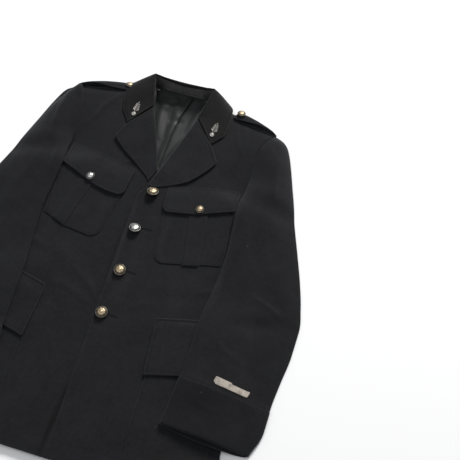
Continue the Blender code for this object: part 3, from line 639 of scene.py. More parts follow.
def panel(name, outline, top, bottom, finish, spacing, rings=FINE_RINGS, lines=(), wear=1.0):
    """A closed piece of cloth over an outline; top and bottom give heights from x, y and edge distance.

    lines are places, x0 y0 x1 y1, where the points stand close on both sides.
    """
    outline = np.asarray(outline, float)
    border, rest = panel_points(outline, spacing, rings, lines)
    edges = [(k, (k + 1) % len(border)) for k in range(len(border))]
    flat = [Vector(p) for p in np.concatenate((border, rest))]
    flat, _, faces, _, _, _ = delaunay_2d_cdt(flat, edges, [], 0, 1e-3)
    flat = np.array([tuple(p) for p in flat])
    faces = np.array([face for face in faces if len(face) == 3])
    faces = faces[within(outline, flat[faces].mean(axis=1))]
    corners = flat[faces]
    ab, ac = corners[:, 1] - corners[:, 0], corners[:, 2] - corners[:, 0]
    backwards = ab[:, 0] * ac[:, 1] - ab[:, 1] * ac[:, 0] < 0
    faces[backwards] = faces[backwards][:, ::-1]
    edge = distance(outline, flat)
    faces = faces[(edge[faces] > ON_THE_EDGE).any(axis=1)]
    used, faces = np.unique(faces, return_inverse=True)
    faces, flat, edge = faces.reshape(-1, 3), flat[used], edge[used]
    edge = np.where(edge < ON_THE_EDGE, 0, edge)
    upper, lower = top(flat[:, 0], flat[:, 1], edge), bottom(flat[:, 0], flat[:, 1], edge)
    middle = (upper + lower) / 2
    share = rounding(edge, 0.55 * np.maximum(upper - lower, 0.2))
    upper, lower = middle + (upper - middle) * share, middle - (middle - lower) * share
    points = np.concatenate((np.column_stack((flat, upper)), np.column_stack((flat, lower))))
    both = np.concatenate((faces, faces[:, ::-1] + len(flat)))
    wear_grime_and_painted_light = np.tile(np.exp(-edge / 1.1) * wear, 2)
    piece = make_mesh(name, points, both, finish, wear_grime_and_painted_light)
    weld(piece)
    return piece


def stitch(points):
    """Keeps a run of points for the stitching."""
    if len(points) > 3:
        STITCH_LINES.append(np.asarray(points, float))


def outline_stitches(outline, height, apart, first, last):
    """A stitch line inside an outline, from one corner number to another."""
    p = resampled([outline[k % len(outline)] for k in range(first, last + 1)], 1.5, closed=False)
    moved = p + inward(np.gradient(p, axis=0), outline) * apart
    moved = moved[(distance(outline, moved) > apart * 0.95) & within(outline, moved)]
    if len(moved) > 3:
        stitch(np.column_stack((moved, height(*moved.T, np.full(len(moved), apart)))))


class Nodes:
    """Shader nodes of one material."""

    def __init__(self, name):
        self.material = bpy.data.materials.new(name)
        self.material.use_nodes = True
        self.tree = self.material.node_tree
        self.shader = self.tree.nodes["Principled BSDF"]
        self.place = self.add("ShaderNodeTexCoord", output=3)

    def add(self, kind, settings=None, output=0, **inputs):
        """A node with its settings, and the values or links of its sockets."""
        node = self.tree.nodes.new(kind)
        for key, value in (settings or {}).items():
            setattr(node, key, value)
        for key, value in inputs.items():
            self.feed(node.inputs[int(key[1:]) if key[1:].isdigit() else key.replace("_", " ")], value)
        return Signal(self, node.outputs[output])

    def feed(self, socket, value):
        if isinstance(value, Signal):
            self.tree.links.new(value.socket, socket)
        else:
            socket.default_value = value

    def attribute(self, name):
        return self.add("ShaderNodeAttribute", {"attribute_name": name}, output=2)

    def noise(self, scale, detail=2.0, roughness=0.5):
        values = {"Scale": scale, "Detail": detail, "Roughness": roughness}
        return self.add("ShaderNodeTexNoise", Vector=self.place, **values)

    def mix(self, share, first, second):
        """One colour or link over another; a colour is three numbers."""
        first, second = (c if isinstance(c, Signal) else (*c, 1) for c in (first, second))
        return self.add("ShaderNodeMix", {"data_type": "RGBA"}, output=2, i0=share, i6=first, i7=second)

    def bump(self, height, strength, depth):
        return self.add("ShaderNodeBump", Height=height, Strength=strength, Distance=depth)

    def finish(self, **inputs):
        for key, value in inputs.items():
            self.feed(self.shader.inputs[key.replace("_", " ")], value)
        return self.material


class Signal:
    """A value in a material, with arithmetic."""

    def __init__(self, nodes, socket):
        self.nodes, self.socket = nodes, socket

    def maths(self, operation, *others, reverse=False, clamp=False):
        values = [*others, self] if reverse else [self, *others]
        settings = {"operation": operation, "use_clamp": clamp}
        return self.nodes.add("ShaderNodeMath", settings, **{f"i{n}": v for n, v in enumerate(values)})

    def __add__(self, other):
        return self.maths("ADD", other)

    def __sub__(self, other):
        return self.maths("SUBTRACT", other)

    def __rsub__(self, other):
        return self.maths("SUBTRACT", other, reverse=True)

    def __mul__(self, other):
        return self.maths("MULTIPLY", other)

    __radd__, __rmul__ = __add__, __mul__

    def sin(self):
        return self.maths("SINE")

    def below(self, limit):
        return self.maths("LESS_THAN", limit)

    def clamped(self):
        return self.maths("ADD", 0.0, clamp=True)

    def split(self):
        node = self.nodes.tree.nodes.new("ShaderNodeSeparateXYZ")
        self.nodes.tree.links.new(self.socket, node.inputs[0])
        return [Signal(self.nodes, socket) for socket in node.outputs]


def wool(name, dark, light, rubbed_and_highlight_colour, nap=1.0):
    """Fulled wool: a soft nap over a fine twill, paler where its edges have rubbed and where highlight is
    painted on, and near black where shade is painted on.
    """
    n = Nodes(name)
    x, y, z = n.place.split()
    cloud, mottle, fibre = n.noise(22.0, 5.0, 0.65), n.noise(150.0, 5.0, 0.7), n.noise(1500.0, 3.0, 0.7)
    twill = ((x + y * 1.6 + z * 1.1) * 3400.0 + n.noise(160.0) * 2.6).sin()
    cloth = n.mix((cloud * 0.9 + mottle * 1.5 + fibre * 0.6 - 1.0).clamped(), dark, light)
    wear_grime_and_painted_light = n.attribute("wear_grime_and_painted_light")
    # Paler towards this colour where edges have rubbed and where painted highlight lies along lit folds and
    # edges.
    cloth = n.mix((wear_grime_and_painted_light * (mottle * 1.5 - 0.05)).clamped(), cloth, rubbed_and_highlight_colour)
    # Painted shade: near black where the painted value falls below 0.
    cloth = n.mix((wear_grime_and_painted_light * -1.0).clamped(), cloth, (0.0006, 0.0006, 0.0007))
    near, seeds = (n.add("ShaderNodeTexVoronoi", output=k, Vector=n.place, Scale=62.0) for k in (0, 1))
    lint = near.below(0.055) * seeds.split()[0].below(0.03)
    cloth = n.mix(lint * 0.5, cloth, (0.2, 0.2, 0.2))
    height = fibre * 0.5 * nap + mottle * 0.8 * nap + twill * 0.16
    return n.finish(
        Base_Color=cloth, Roughness=0.86 + mottle * 0.12, Normal=n.bump(height, 0.6, 0.0009),
        Sheen_Weight=0.1, Sheen_Roughness=0.5, Sheen_Tint=(0.85, 0.87, 0.92, 1), Specular_IOR_Level=0.2,
    )


def satin(name):
    """Lining: close satin with faint ribs and its own sheen."""
    n = Nodes(name)
    cloud, thread = n.noise(26.0), n.noise(900.0)
    ribs = (n.place.split()[0] * 5200.0 + thread * 2.0).sin()
    tone = (cloud * 0.6 + thread * 0.5).clamped()
    cloth = n.mix(tone, (0.006, 0.0071, 0.0068), (0.0165, 0.0186, 0.0178))
    # Painted shade: near black along the pleat's crease and the line beside it.
    cloth = n.mix(n.attribute("wear_grime_and_painted_light").clamped(), cloth, (0.0008, 0.0008, 0.0008))
    return n.finish(
        Base_Color=cloth, Roughness=0.48 + thread * 0.1, Sheen_Weight=0.1, Specular_IOR_Level=0.3,
        Normal=n.bump(thread * 0.6 + ribs * 0.12, 0.22, 0.0004),
    )


def metal(name, bright, dull, grime, roughness):
    """Plated metal, duller and darker in its hollows."""
    n = Nodes(name)
    cloud, grain, low = n.noise(260.0, 3.0), n.noise(2600.0), n.attribute("wear_grime_and_painted_light")
    plate = n.mix(cloud, dull, bright)
    plate = n.mix(n.attribute("rim").clamped(), plate, (0.12, 0.117, 0.105))
    plate = n.mix((low * (0.75 + cloud * 0.4)).clamped(), plate, grime)
    return n.finish(
        Base_Color=plate, Metallic=0.95, Roughness=roughness + cloud * 0.16 + low * 0.2,
        Normal=n.bump(grain + cloud * 0.5, 0.16, 0.00025),
    )


def braid_cloth(name):
    """Woven tape with pale ribs, rubbed through in places."""
    n = Nodes(name)
    x, y, _ = n.place.split()
    wear, thread = n.noise(130.0, 4.0, 0.7), n.noise(1400.0)
    weave = ((x * 0.97 - y * 0.24) * 5400.0).sin() * ((x * 0.24 + y * 0.97) * 6200.0).sin()
    cloth = n.mix((weave * 0.22 + thread * 0.5 + 0.22).clamped(), (0.285, 0.245, 0.20), (0.60, 0.53, 0.45))
    cloth = n.mix(((wear - 0.46) * 5.5).clamped() * 0.8, cloth, (0.16, 0.148, 0.14))
    cloth = n.mix((n.attribute("wear_grime_and_painted_light") * 0.6).clamped(), cloth, (0.22, 0.20, 0.17))
    return n.finish(
        Base_Color=cloth, Roughness=0.55 + thread * 0.2, Metallic=0.12,
        Normal=n.bump(weave * 0.5 + thread * 0.4, 0.5, 0.0005), Sheen_Weight=0.2,
    )


def thread_cloth(name, colour):
    """Sewing thread."""
    n = Nodes(name)
    tone = n.mix(n.noise(2400.0), [c * 0.7 for c in colour], colour)
    return n.finish(Base_Color=tone, Roughness=0.85, Specular_IOR_Level=0.1)


MATERIALS = {
    "wool": wool("fulled wool", (0.0030, 0.0030, 0.0036), (0.0122, 0.0124, 0.0138), (0.030, 0.030, 0.033)),
    "collar": wool(
        "collar wool", (0.0026, 0.0024, 0.0023), (0.0098, 0.0095, 0.0090), (0.034, 0.032, 0.029), 1.2,
    ),
    # The stand's wool is painted several times paler than the rest: painted light on its inner face, which
    # lies in shade.
    "stand": wool(
        "collar stand wool painted lit", (0.045, 0.045, 0.041), (0.160, 0.160, 0.148), (0.05, 0.049, 0.045), 1.4,
    ),
    "lining": satin("satin lining"),
    "gilt": metal("worn gilt", (0.65, 0.50, 0.31), (0.42, 0.345, 0.245), (0.030, 0.027, 0.022), 0.34),
    "silver": metal("worn silver", (0.78, 0.78, 0.76), (0.5, 0.5, 0.48), (0.035, 0.035, 0.034), 0.26),
    "badge": metal("dull silver", (0.46, 0.448, 0.42), (0.29, 0.28, 0.26), (0.03, 0.03, 0.03), 0.50),
    "braid": braid_cloth("woven braid"),
    "thread": thread_cloth("black thread", (0.0035, 0.0035, 0.004)),
}

FRONT_LENGTH, FRONT_WIDTH = 801, 280  # by which the rings of both fronts are spaced
FRONT_STEP = 4.6  # between points, away from the edges
EDGE_STITCH = 6.2  # how far in from the front edge its stitches run
HEM_STITCH = 32  # how far above the hem its pressed line runs
LAPEL_ROWS = (6.6, 7.6)  # over these rows the front edge passes under the lapel


def make_fronts():
    """Both fronts, with the over front's stitched edge."""
    fine = np.linspace(0, FRONT_LAST, 1200)
    for side_name, side in SIDES:
        x, y = front_place(fine, 0.5, side)
        line = np.stack((x * 0.3, y, FRONT["crown"](fine)), axis=1)
        v = even_rows(line, fine, FRONT_STEP, RINGS, FRONT_LENGTH)[:, None]
        u = spread(FRONT_WIDTH, FRONT_STEP)[None, :]
        x, y = front_place(v, u, side)
        from_edge, from_hem = x - x[:, :1], y - front_place(0.0, u, side)[1]
        z = front_height(v, x, y, side)
        z = z + seam(from_edge, EDGE_STITCH, 0.5, 0.12) * (1 - blend(*LAPEL_ROWS, v))
        if side > 0:
            z = z + 2.6 * bell(y, -425, 60) * bell(from_edge, 0, 22)
        z = z - 0.4 * bell(from_hem, HEM_STITCH, 1.1)
        wear = 0.6 * (1 - blend(0.4, 0.8, u)) * (0.7 + 0.5 * ripple(x, y, 60, 15))
        grid = handed(np.stack((x, y, z - WOOL / 2), axis=2), side)
        cloth_grid("front_" + side_name, grid, WOOL, "wool", wear=wear[:, ::side])
        if side > 0:
            edge = np.column_stack((x[:, 0] + EDGE_STITCH, y[:, 1]))[v[:, 0] < 6.9]
            stitch(np.column_stack((edge, front_top(*edge.T, side) - 0.3)))


def make_back():
    """The back panel, whose sides and armholes lie under those of the fronts."""

    def outer_line(first, last):
        v = np.linspace(first, last, 60)
        return zip(FRONT["x_outer"](v), FRONT["y_outer"](v))

    outline = whole([*outer_line(0, 7), *ARMHOLE_FOOT[::-1], *outer_line(9, FRONT_LAST), *BACK_NECK])
    panel(
        "back", outline, lambda x, y, edge: WOOL + 0.25 * bell(edge, 3, 2.5),
        lambda x, y, edge: np.full_like(x, 0.02), "wool", 9.0, RINGS,
    )


NECK = ((72, 20), (78, 120), (66, 190), (53, 236), (28, 239.8), (0, 239.6))
PLEAT = ((20.5, 236), (7, 184), (1, 133), (-1, 60))
PLEAT_SHADOW = ((36, 150), (24, 115), (10, 84), (5, 50))


def make_lining():
    """The lining that shows in the neck, with its pleat and creases."""

    def top(x, y, edge):
        apart = x - np.interp(-y, [-p[1] for p in PLEAT], [p[0] for p in PLEAT])
        z = 2.8 * blend(-14, 0, apart) * (1 - blend(0, 0.8, apart)) - 1.3 * bell(apart, 1.4, 1.1)
        z = z + folds("back_lining", x, y)
        z = z + 0.8 * np.clip(ripple(x + y * 0.3, y * 0.3, 34, 11), -0.3, 1.2)
        z = z + 0.1 * ripple(x, y * 0.4, 13, 13)
        return WOOL + GAP + LINING + 0.4 + z * blend(0, 12, edge)

    lining = panel(
        "back_lining", whole(NECK), top, lambda x, y, edge: top(x, y, edge) - LINING, "lining", 2.6,
        (0, 0.3, 0.8, 1.6, 2.6), [(*a, *b) for a, b in zip(PLEAT[:-1], PLEAT[1:])], wear=0,
    )
    places = np.array([vertex.co[:2] for vertex in lining.data.vertices]) * 1000 - (0, MIDDLE_Y)
    # Painted shade along the pleat and the line beside it, kept in the lining's attribute.
    shade = bell(distance(PLEAT, places - (1.2, 0), closed=False), 0, 1.5)
    shade += 0.55 * bell(distance(PLEAT_SHADOW, places, closed=False), 0, 2.0)
    lining.data.attributes["wear_grime_and_painted_light"].data.foreach_set("value", shade.astype(np.float32))


LAPELS = (
    # side name, side, outline, how many of its points lie on the roll line, ripple seed
    ("left", 1, LAPEL_OVER, 7, 21),
    ("right", -1, LAPEL_UNDER, 5, 22),
)


def make_lapels():
    """The turned facings: rounded at the roll line, lifted at their tips."""
    for side_name, side, half, rolls, seed in LAPELS:
        outline = np.array(sided(half, side), float)
        outline[:rolls] += (-1.4 * side, 0.3)
        roll = outline[:rolls]

        def under(x, y):
            """The underside, how free of the roll a place is, and how much the roll is rounded off."""
            from_roll = from_line(roll, x, y)
            free = blend(0.2, 5, from_roll)
            z = front_top(x, y, side) + (GAP + 0.3 + 3.6 * blend(8, 95, from_roll) ** 1.3)
            return z, ripple(x, y, 60, seed) * 0.7 * free, free, 1 - rounding(from_roll, 4.5)

        def top(x, y, edge):
            z, sway, free, nose = under(x, y)
            return z + WOOL + sway + seam(edge, 5.2, 0.4, 0.35) * free - nose * (WOOL + 0.4)

        def bottom(x, y, edge):
            z, sway, _, nose = under(x, y)
            return np.minimum(z + sway, top(x, y, edge) - 0.6) - nose * (WOOL + 0.2)

        panel("lapel_" + side_name, outline, top, bottom, "wool", 3.2, wear=0.45)
        outline_stitches(outline, top, 5.2, rolls + 1, len(outline) - 2)


def extended(line, beyond):
    """A line made longer at both ends."""
    x0, y0, x1, y1 = line
    length = math.hypot(x1 - x0, y1 - y0)
    dx, dy = (x1 - x0) / length * beyond, (y1 - y0) / length * beyond
    return x0 - dx, y0 - dy, x1 + dx, y1 + dy


def across_line(line, x, y):
    """How far places lie to the +X side of a line that runs down."""
    x0, y0, x1, y1 = line
    return ((x - x0) * -(y1 - y0) + (y - y0) * (x1 - x0)) / math.hypot(x1 - x0, y1 - y0)


POCKET_LOOKS = {
    # ripple length, height, reach and seeds; seam place, ridge and groove; spacing, rings, wear
    "breast": ((42, 0.5, 26, (31, 32)), (3.6, 0.35, 0.45), (3.4, FINE_RINGS, 0.25)),
    "lower": ((70, 0.7, 30, (51, 52)), (4.2, 0.4, 0.45), (4.4, RINGS, 0.3)),
}
FLAP_LOOKS = {
    # how far off; rises and the distances below the top edge that they span; then as above; corner steps
    "breast": (0.3, ((3.8, 2, 34), (1.3, 30, 58)), (55, 0.6, 20, (41, 42)), (5.4, 0.4, 0.45), (3.2, 0.3), 8),
    "lower": (0.5, ((2.4, 2, 26), (1.4, 60, 118)), (60, 0.5, 25, (61, 62)), (5.0, 0.45, 0.4), (3.8, 0.5), 5),
}


def own_ripple(x, y, edge, side, look):
    """A panel's own soft ripple, which dies away at its edge."""
    size, height, reach, seeds = look
    return ripple(x, y, size, seeds[side < 0]) * height * blend(0, reach, edge)


def make_pocket(key, side_name, side, spec):
    """A patch pocket; a breast pocket has a box pleat, whose outer edge is crisp on the left one only."""
    ripples, seam_look, (spacing, rings, wear) = POCKET_LOOKS[key]
    outline = sided(rounded(spec["body"], 8), side)
    pleats = [(x0 * side, y0, x1 * side, y1) for x0, y0, x1, y1 in spec.get("pleat", ())][::side]
    crisp = side > 0

    def under(x, y, edge):
        return front_top(x, y, side) + 0.1

    def top(x, y, edge):
        raised = 0
        if pleats:
            left, right = (across_line(line, x, y) for line in pleats)
            step = blend(-0.5, 0.5 if crisp else 9.0, left) * (1 - blend(-0.5, 0.5, right))
            step = step - 0.35 * (bell(left, -1.0, 0.7) * crisp + bell(right, 1.0, 0.7))
            roll = 0.45 * (bell(left, 1.4, 1.2) * crisp + bell(right, -1.4, 1.2))
            raised = (PLEAT_RAISE + roll) * step
        swell = own_ripple(x, y, edge, side, ripples)
        return under(x, y, edge) + POCKET_WOOL + raised + swell + seam(edge, *seam_look)

    lines = [extended(line, 8) for line in pleats[::side]]
    panel(f"{key}_pocket_{side_name}", outline, top, under, "wool", spacing, rings, lines, wear)
    outline_stitches(outline, top, seam_look[0], 0, len(outline) - 1)


def make_flap(key, side_name, side, spec):
    """A pocket flap, held along its top edge and lifted below it; a breast flap is buttoned down."""
    off, rises, ripples, seam_look, (spacing, wear), steps = FLAP_LOOKS[key]
    outline = sided(rounded(spec["flap"], steps), side)
    top_edge = sided((spec["flap"][0], spec["flap"][-1]), side)

    def lift(x, y):
        from_top = from_line(top_edge, x, y)
        z = front_top(x, y, side) + off
        for rise, low, high in rises:
            z = z + rise * blend(low, high, from_top)
        return z, from_top

    def top(x, y, edge):
        z, from_top = lift(x, y)
        swell = own_ripple(x, y, edge, side, ripples)
        if "button" not in spec:
            return z + POCKET_WOOL + swell + seam(edge, *seam_look)
        bx, by = spec["button"]
        dimple = 0.9 * bell(np.hypot(x - bx * side, y - by), 0, 11)
        cloth = 0.35 + (POCKET_WOOL - 0.35) * blend(0, 15, from_top)
        return z + cloth + swell - dimple + seam(edge, *seam_look) * blend(3, 14, from_top)

    name = f"{key}_flap_{side_name}"
    panel(name, outline, top, lambda x, y, edge: lift(x, y)[0] - 0.2, "wool", spacing, wear=wear)
    if "button" in spec:
        outline_stitches(outline, top, seam_look[0], steps, len(outline) - 1 - steps)
    else:
        outline_stitches(outline, top, seam_look[0], 0, len(outline))


def make_pockets():
    """Breast pockets with a box pleat, lower pockets, and their flaps."""
    for side_name, side in SIDES:
        for key, specs in (("breast", BREAST_POCKETS), ("lower", LOWER_POCKETS)):
            make_pocket(key, side_name, side, specs[side_name])
            make_flap(key, side_name, side, specs[side_name])


GROUND_STEP = 3.0
GROUND_X = np.arange(140, 400, GROUND_STEP)
GROUND_Y = np.arange(-480, 240, GROUND_STEP)


def make_ground(side_name, side):
    """The height that a laid sleeve must clear, on a net of places beside the body."""
    x, y = np.meshgrid(GROUND_X, GROUND_Y)
    v = front_row_at(x, y, side)
    z = front_height(v, np.minimum(x, FRONT["x_outer"](v)), y, side)
    z = np.where((x <= FRONT["x_outer"](v)) & (y < 200), z, 0)
    places = np.column_stack((x.ravel(), y.ravel()))
    for specs, flap_lift in ((BREAST_POCKETS, 3.6), (LOWER_POCKETS, 2.9)):
        for part, lift in (("body", 0), ("flap", flap_lift)):
            covered = within(rounded(specs[side_name][part]), places).reshape(x.shape)
            z = np.where(covered & (z > 0), z + (POCKET_WOOL + lift), z)
    reach = int(DRAPE_REACH / GROUND_STEP)
    padded = np.pad(z, reach, mode="edge")
    best = z.copy()
    for dy in range(2 * reach + 1):
        for dx in range(2 * reach + 1):
            if (dx - reach) ** 2 + (dy - reach) ** 2 <= reach * reach:
                best = np.maximum(best, padded[dy: dy + z.shape[0], dx: dx + z.shape[1]])
    for axis, soft in ((0, 20.0), (1, 8.0)):
        taps = int(2.5 * soft / GROUND_STEP)
        kernel = np.exp(-((np.arange(-taps, taps + 1) * GROUND_STEP / soft) ** 2) / 2)
        kernel /= kernel.sum()
        wide = np.pad(best, [(taps, taps) if n == axis else (0, 0) for n in range(2)], mode="edge")
        best = sum(k * np.take(wide, range(n, n + best.shape[axis]), axis=axis) for n, k in enumerate(kernel))
    return best + GAP


def ground_at(net, x, y):
    """The net's height at places on the half towards +X."""
    i = np.clip((y - GROUND_Y[0]) / GROUND_STEP, 0, len(GROUND_Y) - 1.001)
    j = np.clip((x - GROUND_X[0]) / GROUND_STEP, 0, len(GROUND_X) - 1.001)
    a, b = i.astype(int), j.astype(int)
    s, t = i - a, j - b
    near = net[a, b] * (1 - s) * (1 - t) + net[a + 1, b] * s * (1 - t)
    return near + net[a, b + 1] * (1 - s) * t + net[a + 1, b + 1] * s * t


def sleeve_rows(start, end, step, rings=RINGS):
    """Row numbers along the sleeve, evenly spaced by length."""
    fine = np.linspace(start, end, 1500)
    s = sleeve_at(fine)
    middle = np.stack(((s["x_inner"] + s["x_outer"]) / 2, (s["y_inner"] + s["y_outer"]) / 2), axis=1)
    return even_rows(middle, fine, step, rings)


def sleeve_at(v):
    """The sleeve table's values at rows."""
    return {key: column(v) for key, column in SLEEVE.items()}


def cuff_raise(v):
    """How far the sleeve is lifted where the cuff's cloth runs inside it."""
    return (WOOL + GAP) * blend(CUFF_ROW - 0.35, CUFF_ROW + 0.1, v)


def head_peak(t):
    """How much the right sleeve's head is raised at a share of its width."""
    return 0.55 * bell(t, 0, 0.3) + 0.8 * t / 0.22 * np.exp(1 - t / 0.22)


def sleeve_top(net, side_name, side, v, t, reach):
    """Plan place and upper height of the sleeve at row v and share t of its width, up to reach."""
    s = sleeve_at(v)
    x = s["x_inner"] + (s["x_outer"] - s["x_inner"]) * t
    y = s["y_inner"] + (s["y_outer"] - s["y_inner"]) * t
    if side < 0:
        x = x - 7.5 * t ** 2 * bell(v, 2, 2.4)
        y = y + 5.0 * head_peak(t) * bell(v, 0, 1.8)
    raised = cuff_raise(v)
    edge = raised + 2 * WOOL + 1.0
    over_arm = arch(t / reach)
    full = 11.0 * blend(1, 6, v) * over_arm ** 0.9
    head = edge + np.maximum(s["seam_height"] - edge, 0) * np.sqrt(np.clip(1 - t ** 2.4, 0, 1)) + full
    under = (WOOL + GAP) * blend(UNDERARM_ROW - 1.5, UNDERARM_ROW, v)
    laid = np.maximum(ground_at(net, x, y) + raised + under + WOOL + s["rise"] * over_arm ** 0.6, edge)
    z = head + (laid - head) * blend(*SEAM_ROWS, v) + 8.0 * over_arm * bell(v, 7.9, 1.2)
    z = z + 3.5 * over_arm ** 0.35 * bell(v, 7.4, 1.1)
    if side < 0:
        z = z + 8.0 * head_peak(t) * bell(v, 1.5, 1.6)
    z = z + folds("top_sleeve_" + side_name, x * side, y)
    z = z - 1.0 * bell(t * (s["x_outer"] - s["x_inner"]), 0, 4.5) * (1 - blend(6, 8, v))
    loose = arch(t) ** 0.5 * blend(0, 2.5, v)
    waves = ripple(x * side, y, 80, 71 if side > 0 else 72) * 1.1 + ripple(x * side, y, 30, 73) * 0.35
    z = z + waves * loose
    shut = raised + 2 * WOOL + 0.05
    return x, y, shut + (z - shut) * blend(-0.1, 0.6, v)


SLEEVE_BEND = 2.7  # radius of the turn at the sleeve's outer side
BEND_ANGLES = np.radians((72, 54, 36, 18, 0, -18, -36, -54, -72, -90))


def make_sleeves():
    """Top and under sleeves with their turned-back cuffs."""
    for side_name, side in SIDES:
        net = make_ground(side_name, side)
        make_top_sleeve(side_name, side, net)
        make_under_sleeve(side_name, side, net)
        make_cuff(side_name, side, net)


def make_top_sleeve(side_name, side, net):
    """The top sleeve, from the inner seam over the arm, round its outer side and under."""
    v = sleeve_rows(0, SLEEVE_LAST, 4.4)[::-1][:, None]
    s = sleeve_at(v)
    width = s["x_outer"] - s["x_inner"]
    reach = 1 - SLEEVE_BEND / width
    t = spread(170, 4.4)[None, :]
    t = t[:, : int(np.searchsorted(t[0], 0.96))]
    x, y, z = sleeve_top(net, side_name, side, v, t / t[0, -1] * reach, reach)
    outer_x, outer_y = s["x_outer"][:, 0], s["y_outer"][:, 0]
    centre_x = outer_x - SLEEVE_BEND
    high, low = z[:, -1] - WOOL / 2, cuff_raise(v)[:, 0] + WOOL / 2
    around = []
    for angle in BEND_ANGLES:
        height = (high + low) / 2 + (high - low) / 2 * math.sin(angle)
        around.append((centre_x + (SLEEVE_BEND - WOOL / 2) * math.cos(angle), outer_y, height))
    lean = ((s["y_outer"] - s["y_inner"]) / width)[:, 0]
    for u in spread(26, 4, (0, 0.3, 0.8, 1.4))[1:]:
        across = centre_x + (s["x_turned_under"][:, 0] - centre_x) * u
        around.append((across, outer_y + lean * (across - outer_x), low))
    top = np.stack((x, y, z - WOOL / 2), axis=2)
    grid = np.concatenate((top, np.array(around).transpose(2, 0, 1)), axis=1)
    cloth_grid("top_sleeve_" + side_name, handed(grid, side), WOOL, "wool", wear=0.12)


def make_under_sleeve(side_name, side, net):
    """The under sleeve, laid on the body and the table below the top one."""
    v = sleeve_rows(UNDERARM_ROW, SLEEVE_LAST, 9.0)[::-1][:, None]
    s = sleeve_at(v)
    share = spread(140, 8.0, (0, 0.4, 1.0, 2.0))[None, :]
    x = s["x_inner"] + (s["x_turned_under"] - GAP - s["x_inner"]) * share
    y = s["y_inner"] + (s["y_outer"] - s["y_inner"]) * (x - s["x_inner"]) / (s["x_outer"] - s["x_inner"])
    base = ground_at(net, x, y) * (1 - blend(0.86, 1, share)) + 0.05
    grid = np.stack((x, y, base + cuff_raise(v) + WOOL / 2), axis=2)
    cloth_grid("under_sleeve_" + side_name, handed(grid, side), WOOL, "wool", wear=0.1)


CUFF_TURN = 24.0  # how far the cuff's cloth runs back inside the sleeve
CUFF_INSET = 5.4  # from its outer layer to the inner one
CUFF_LIP = 2.6  # how far its fold stands past the sleeve's end
CUFF_BULGE = 3.4  # how far its sides stand out, at most
CUFF_ROW_LENGTH = 49.0  # of one row of the sleeve, near its end
CUFF_RINGS = (0, 0.25, 0.6, 1.1, 1.8, 2.8, 4, 5, 5.6, 6.4, 8)


def cuff_side(x, y, upper, lower, sign):
    """Points round one side of the cuff, where its upper layer turns into the lower one."""
    middle, tall = (upper + lower) / 2, (upper - lower) / 2
    return [
        (x + sign * min(tall, CUFF_BULGE) * math.cos(angle), y, middle + tall * math.sin(angle))
        for angle in np.radians((60, 30, 0, -30, -60)) * sign
    ]


def cuff_ring(side_name, side, net, v, beyond, inset_by):
    """A closed ring of points round the cuff at a row, past its end or inset from its outer layer."""
    v = np.array([v])
    s = {key: float(column[0]) for key, column in sleeve_at(v).items()}
    width, drop = s["x_outer"] - s["x_inner"], s["y_outer"] - s["y_inner"]
    t = 0.02 + spread(170, 5.0, (0, 1.5, 3.5, 6, 9)) * 0.96
    x, y, z = sleeve_top(net, side_name, side, v, t, 1 - SLEEVE_BEND / width)
    open_end = blend(SLEEVE_LAST - 1.1, SLEEVE_LAST, v)
    upper = z + GAP + WOOL / 2 + 2.0 * open_end * arch(t) ** 0.5
    lower = np.where(t > 0.9, 0, ground_at(net, x, y) * (1 - blend(0.78, 0.92, t))) + WOOL / 2
    shrink = np.minimum(inset_by, (upper - lower) / 2 - 1.3)
    upper, lower = upper - shrink, lower + shrink
    down = np.array((-drop, width)) / math.hypot(width, drop)
    x = x + np.sign(0.5 - t) * inset_by * np.abs(t - 0.5) * 2 * 0.8 - down[0] * beyond
    y = y - down[1] * beyond
    longer = 8.0 * open_end * arch(t) ** 0.7
    under = np.stack((x - down[0] * longer, y - down[1] * longer, lower), axis=1)[::-1]
    return np.concatenate((
        np.stack((x, y, upper), axis=1), cuff_side(x[-1], y[-1], upper[-1], lower[-1], 1),
        under, cuff_side(x[0], y[0], upper[0], lower[0], -1),
    ))


def make_cuff(side_name, side, net):
    """The band turned back round the sleeve's end: up the outside, over the mouth and inside."""
    path = [(v, 0.0, 0.0) for v in sleeve_rows(CUFF_ROW, SLEEVE_LAST, 4.4, CUFF_RINGS)[:-8]]
    for angle in np.radians(np.linspace(0, 180, 11)):
        path.append((SLEEVE_LAST, CUFF_LIP * math.sin(angle), CUFF_INSET * (1 - math.cos(angle)) / 2))
    path += [(SLEEVE_LAST - back / CUFF_ROW_LENGTH, 0.0, CUFF_INSET) for back in (3, 7, 12, 18, CUFF_TURN)]
    grid = np.array([cuff_ring(side_name, side, net, *stop) for stop in path[::-1]])
    cloth_grid("cuff_" + side_name, handed(grid, side), WOOL, "wool", closed=True, wear=0.25)


def collar_curve(points):
    """A curve through points that runs straight between its first two and its last two."""
    inner = [curve(points[1:-1, axis]) for axis in range(points.shape[1])]

    def at(w):
        result = np.stack([column(w - 1) for column in inner], axis=-1)
        for low in (0, len(points) - 2):
            here = ((w >= low) & (w <= low + 1))[..., None]
            share = (w - low)[..., None]
            result = np.where(here, points[low] * (1 - share) + points[low + 1] * share, result)
        return result

    return at


LEAF_WIDTH = 62  # by which the rings of the leaf's outer edge are spaced
ROLL_DROPS = ((8.5, 4.4), (5.5, 4.3), (3.0, 3.9), (1.2, 2.9), (0.25, 1.5))  # below and inside the roll line


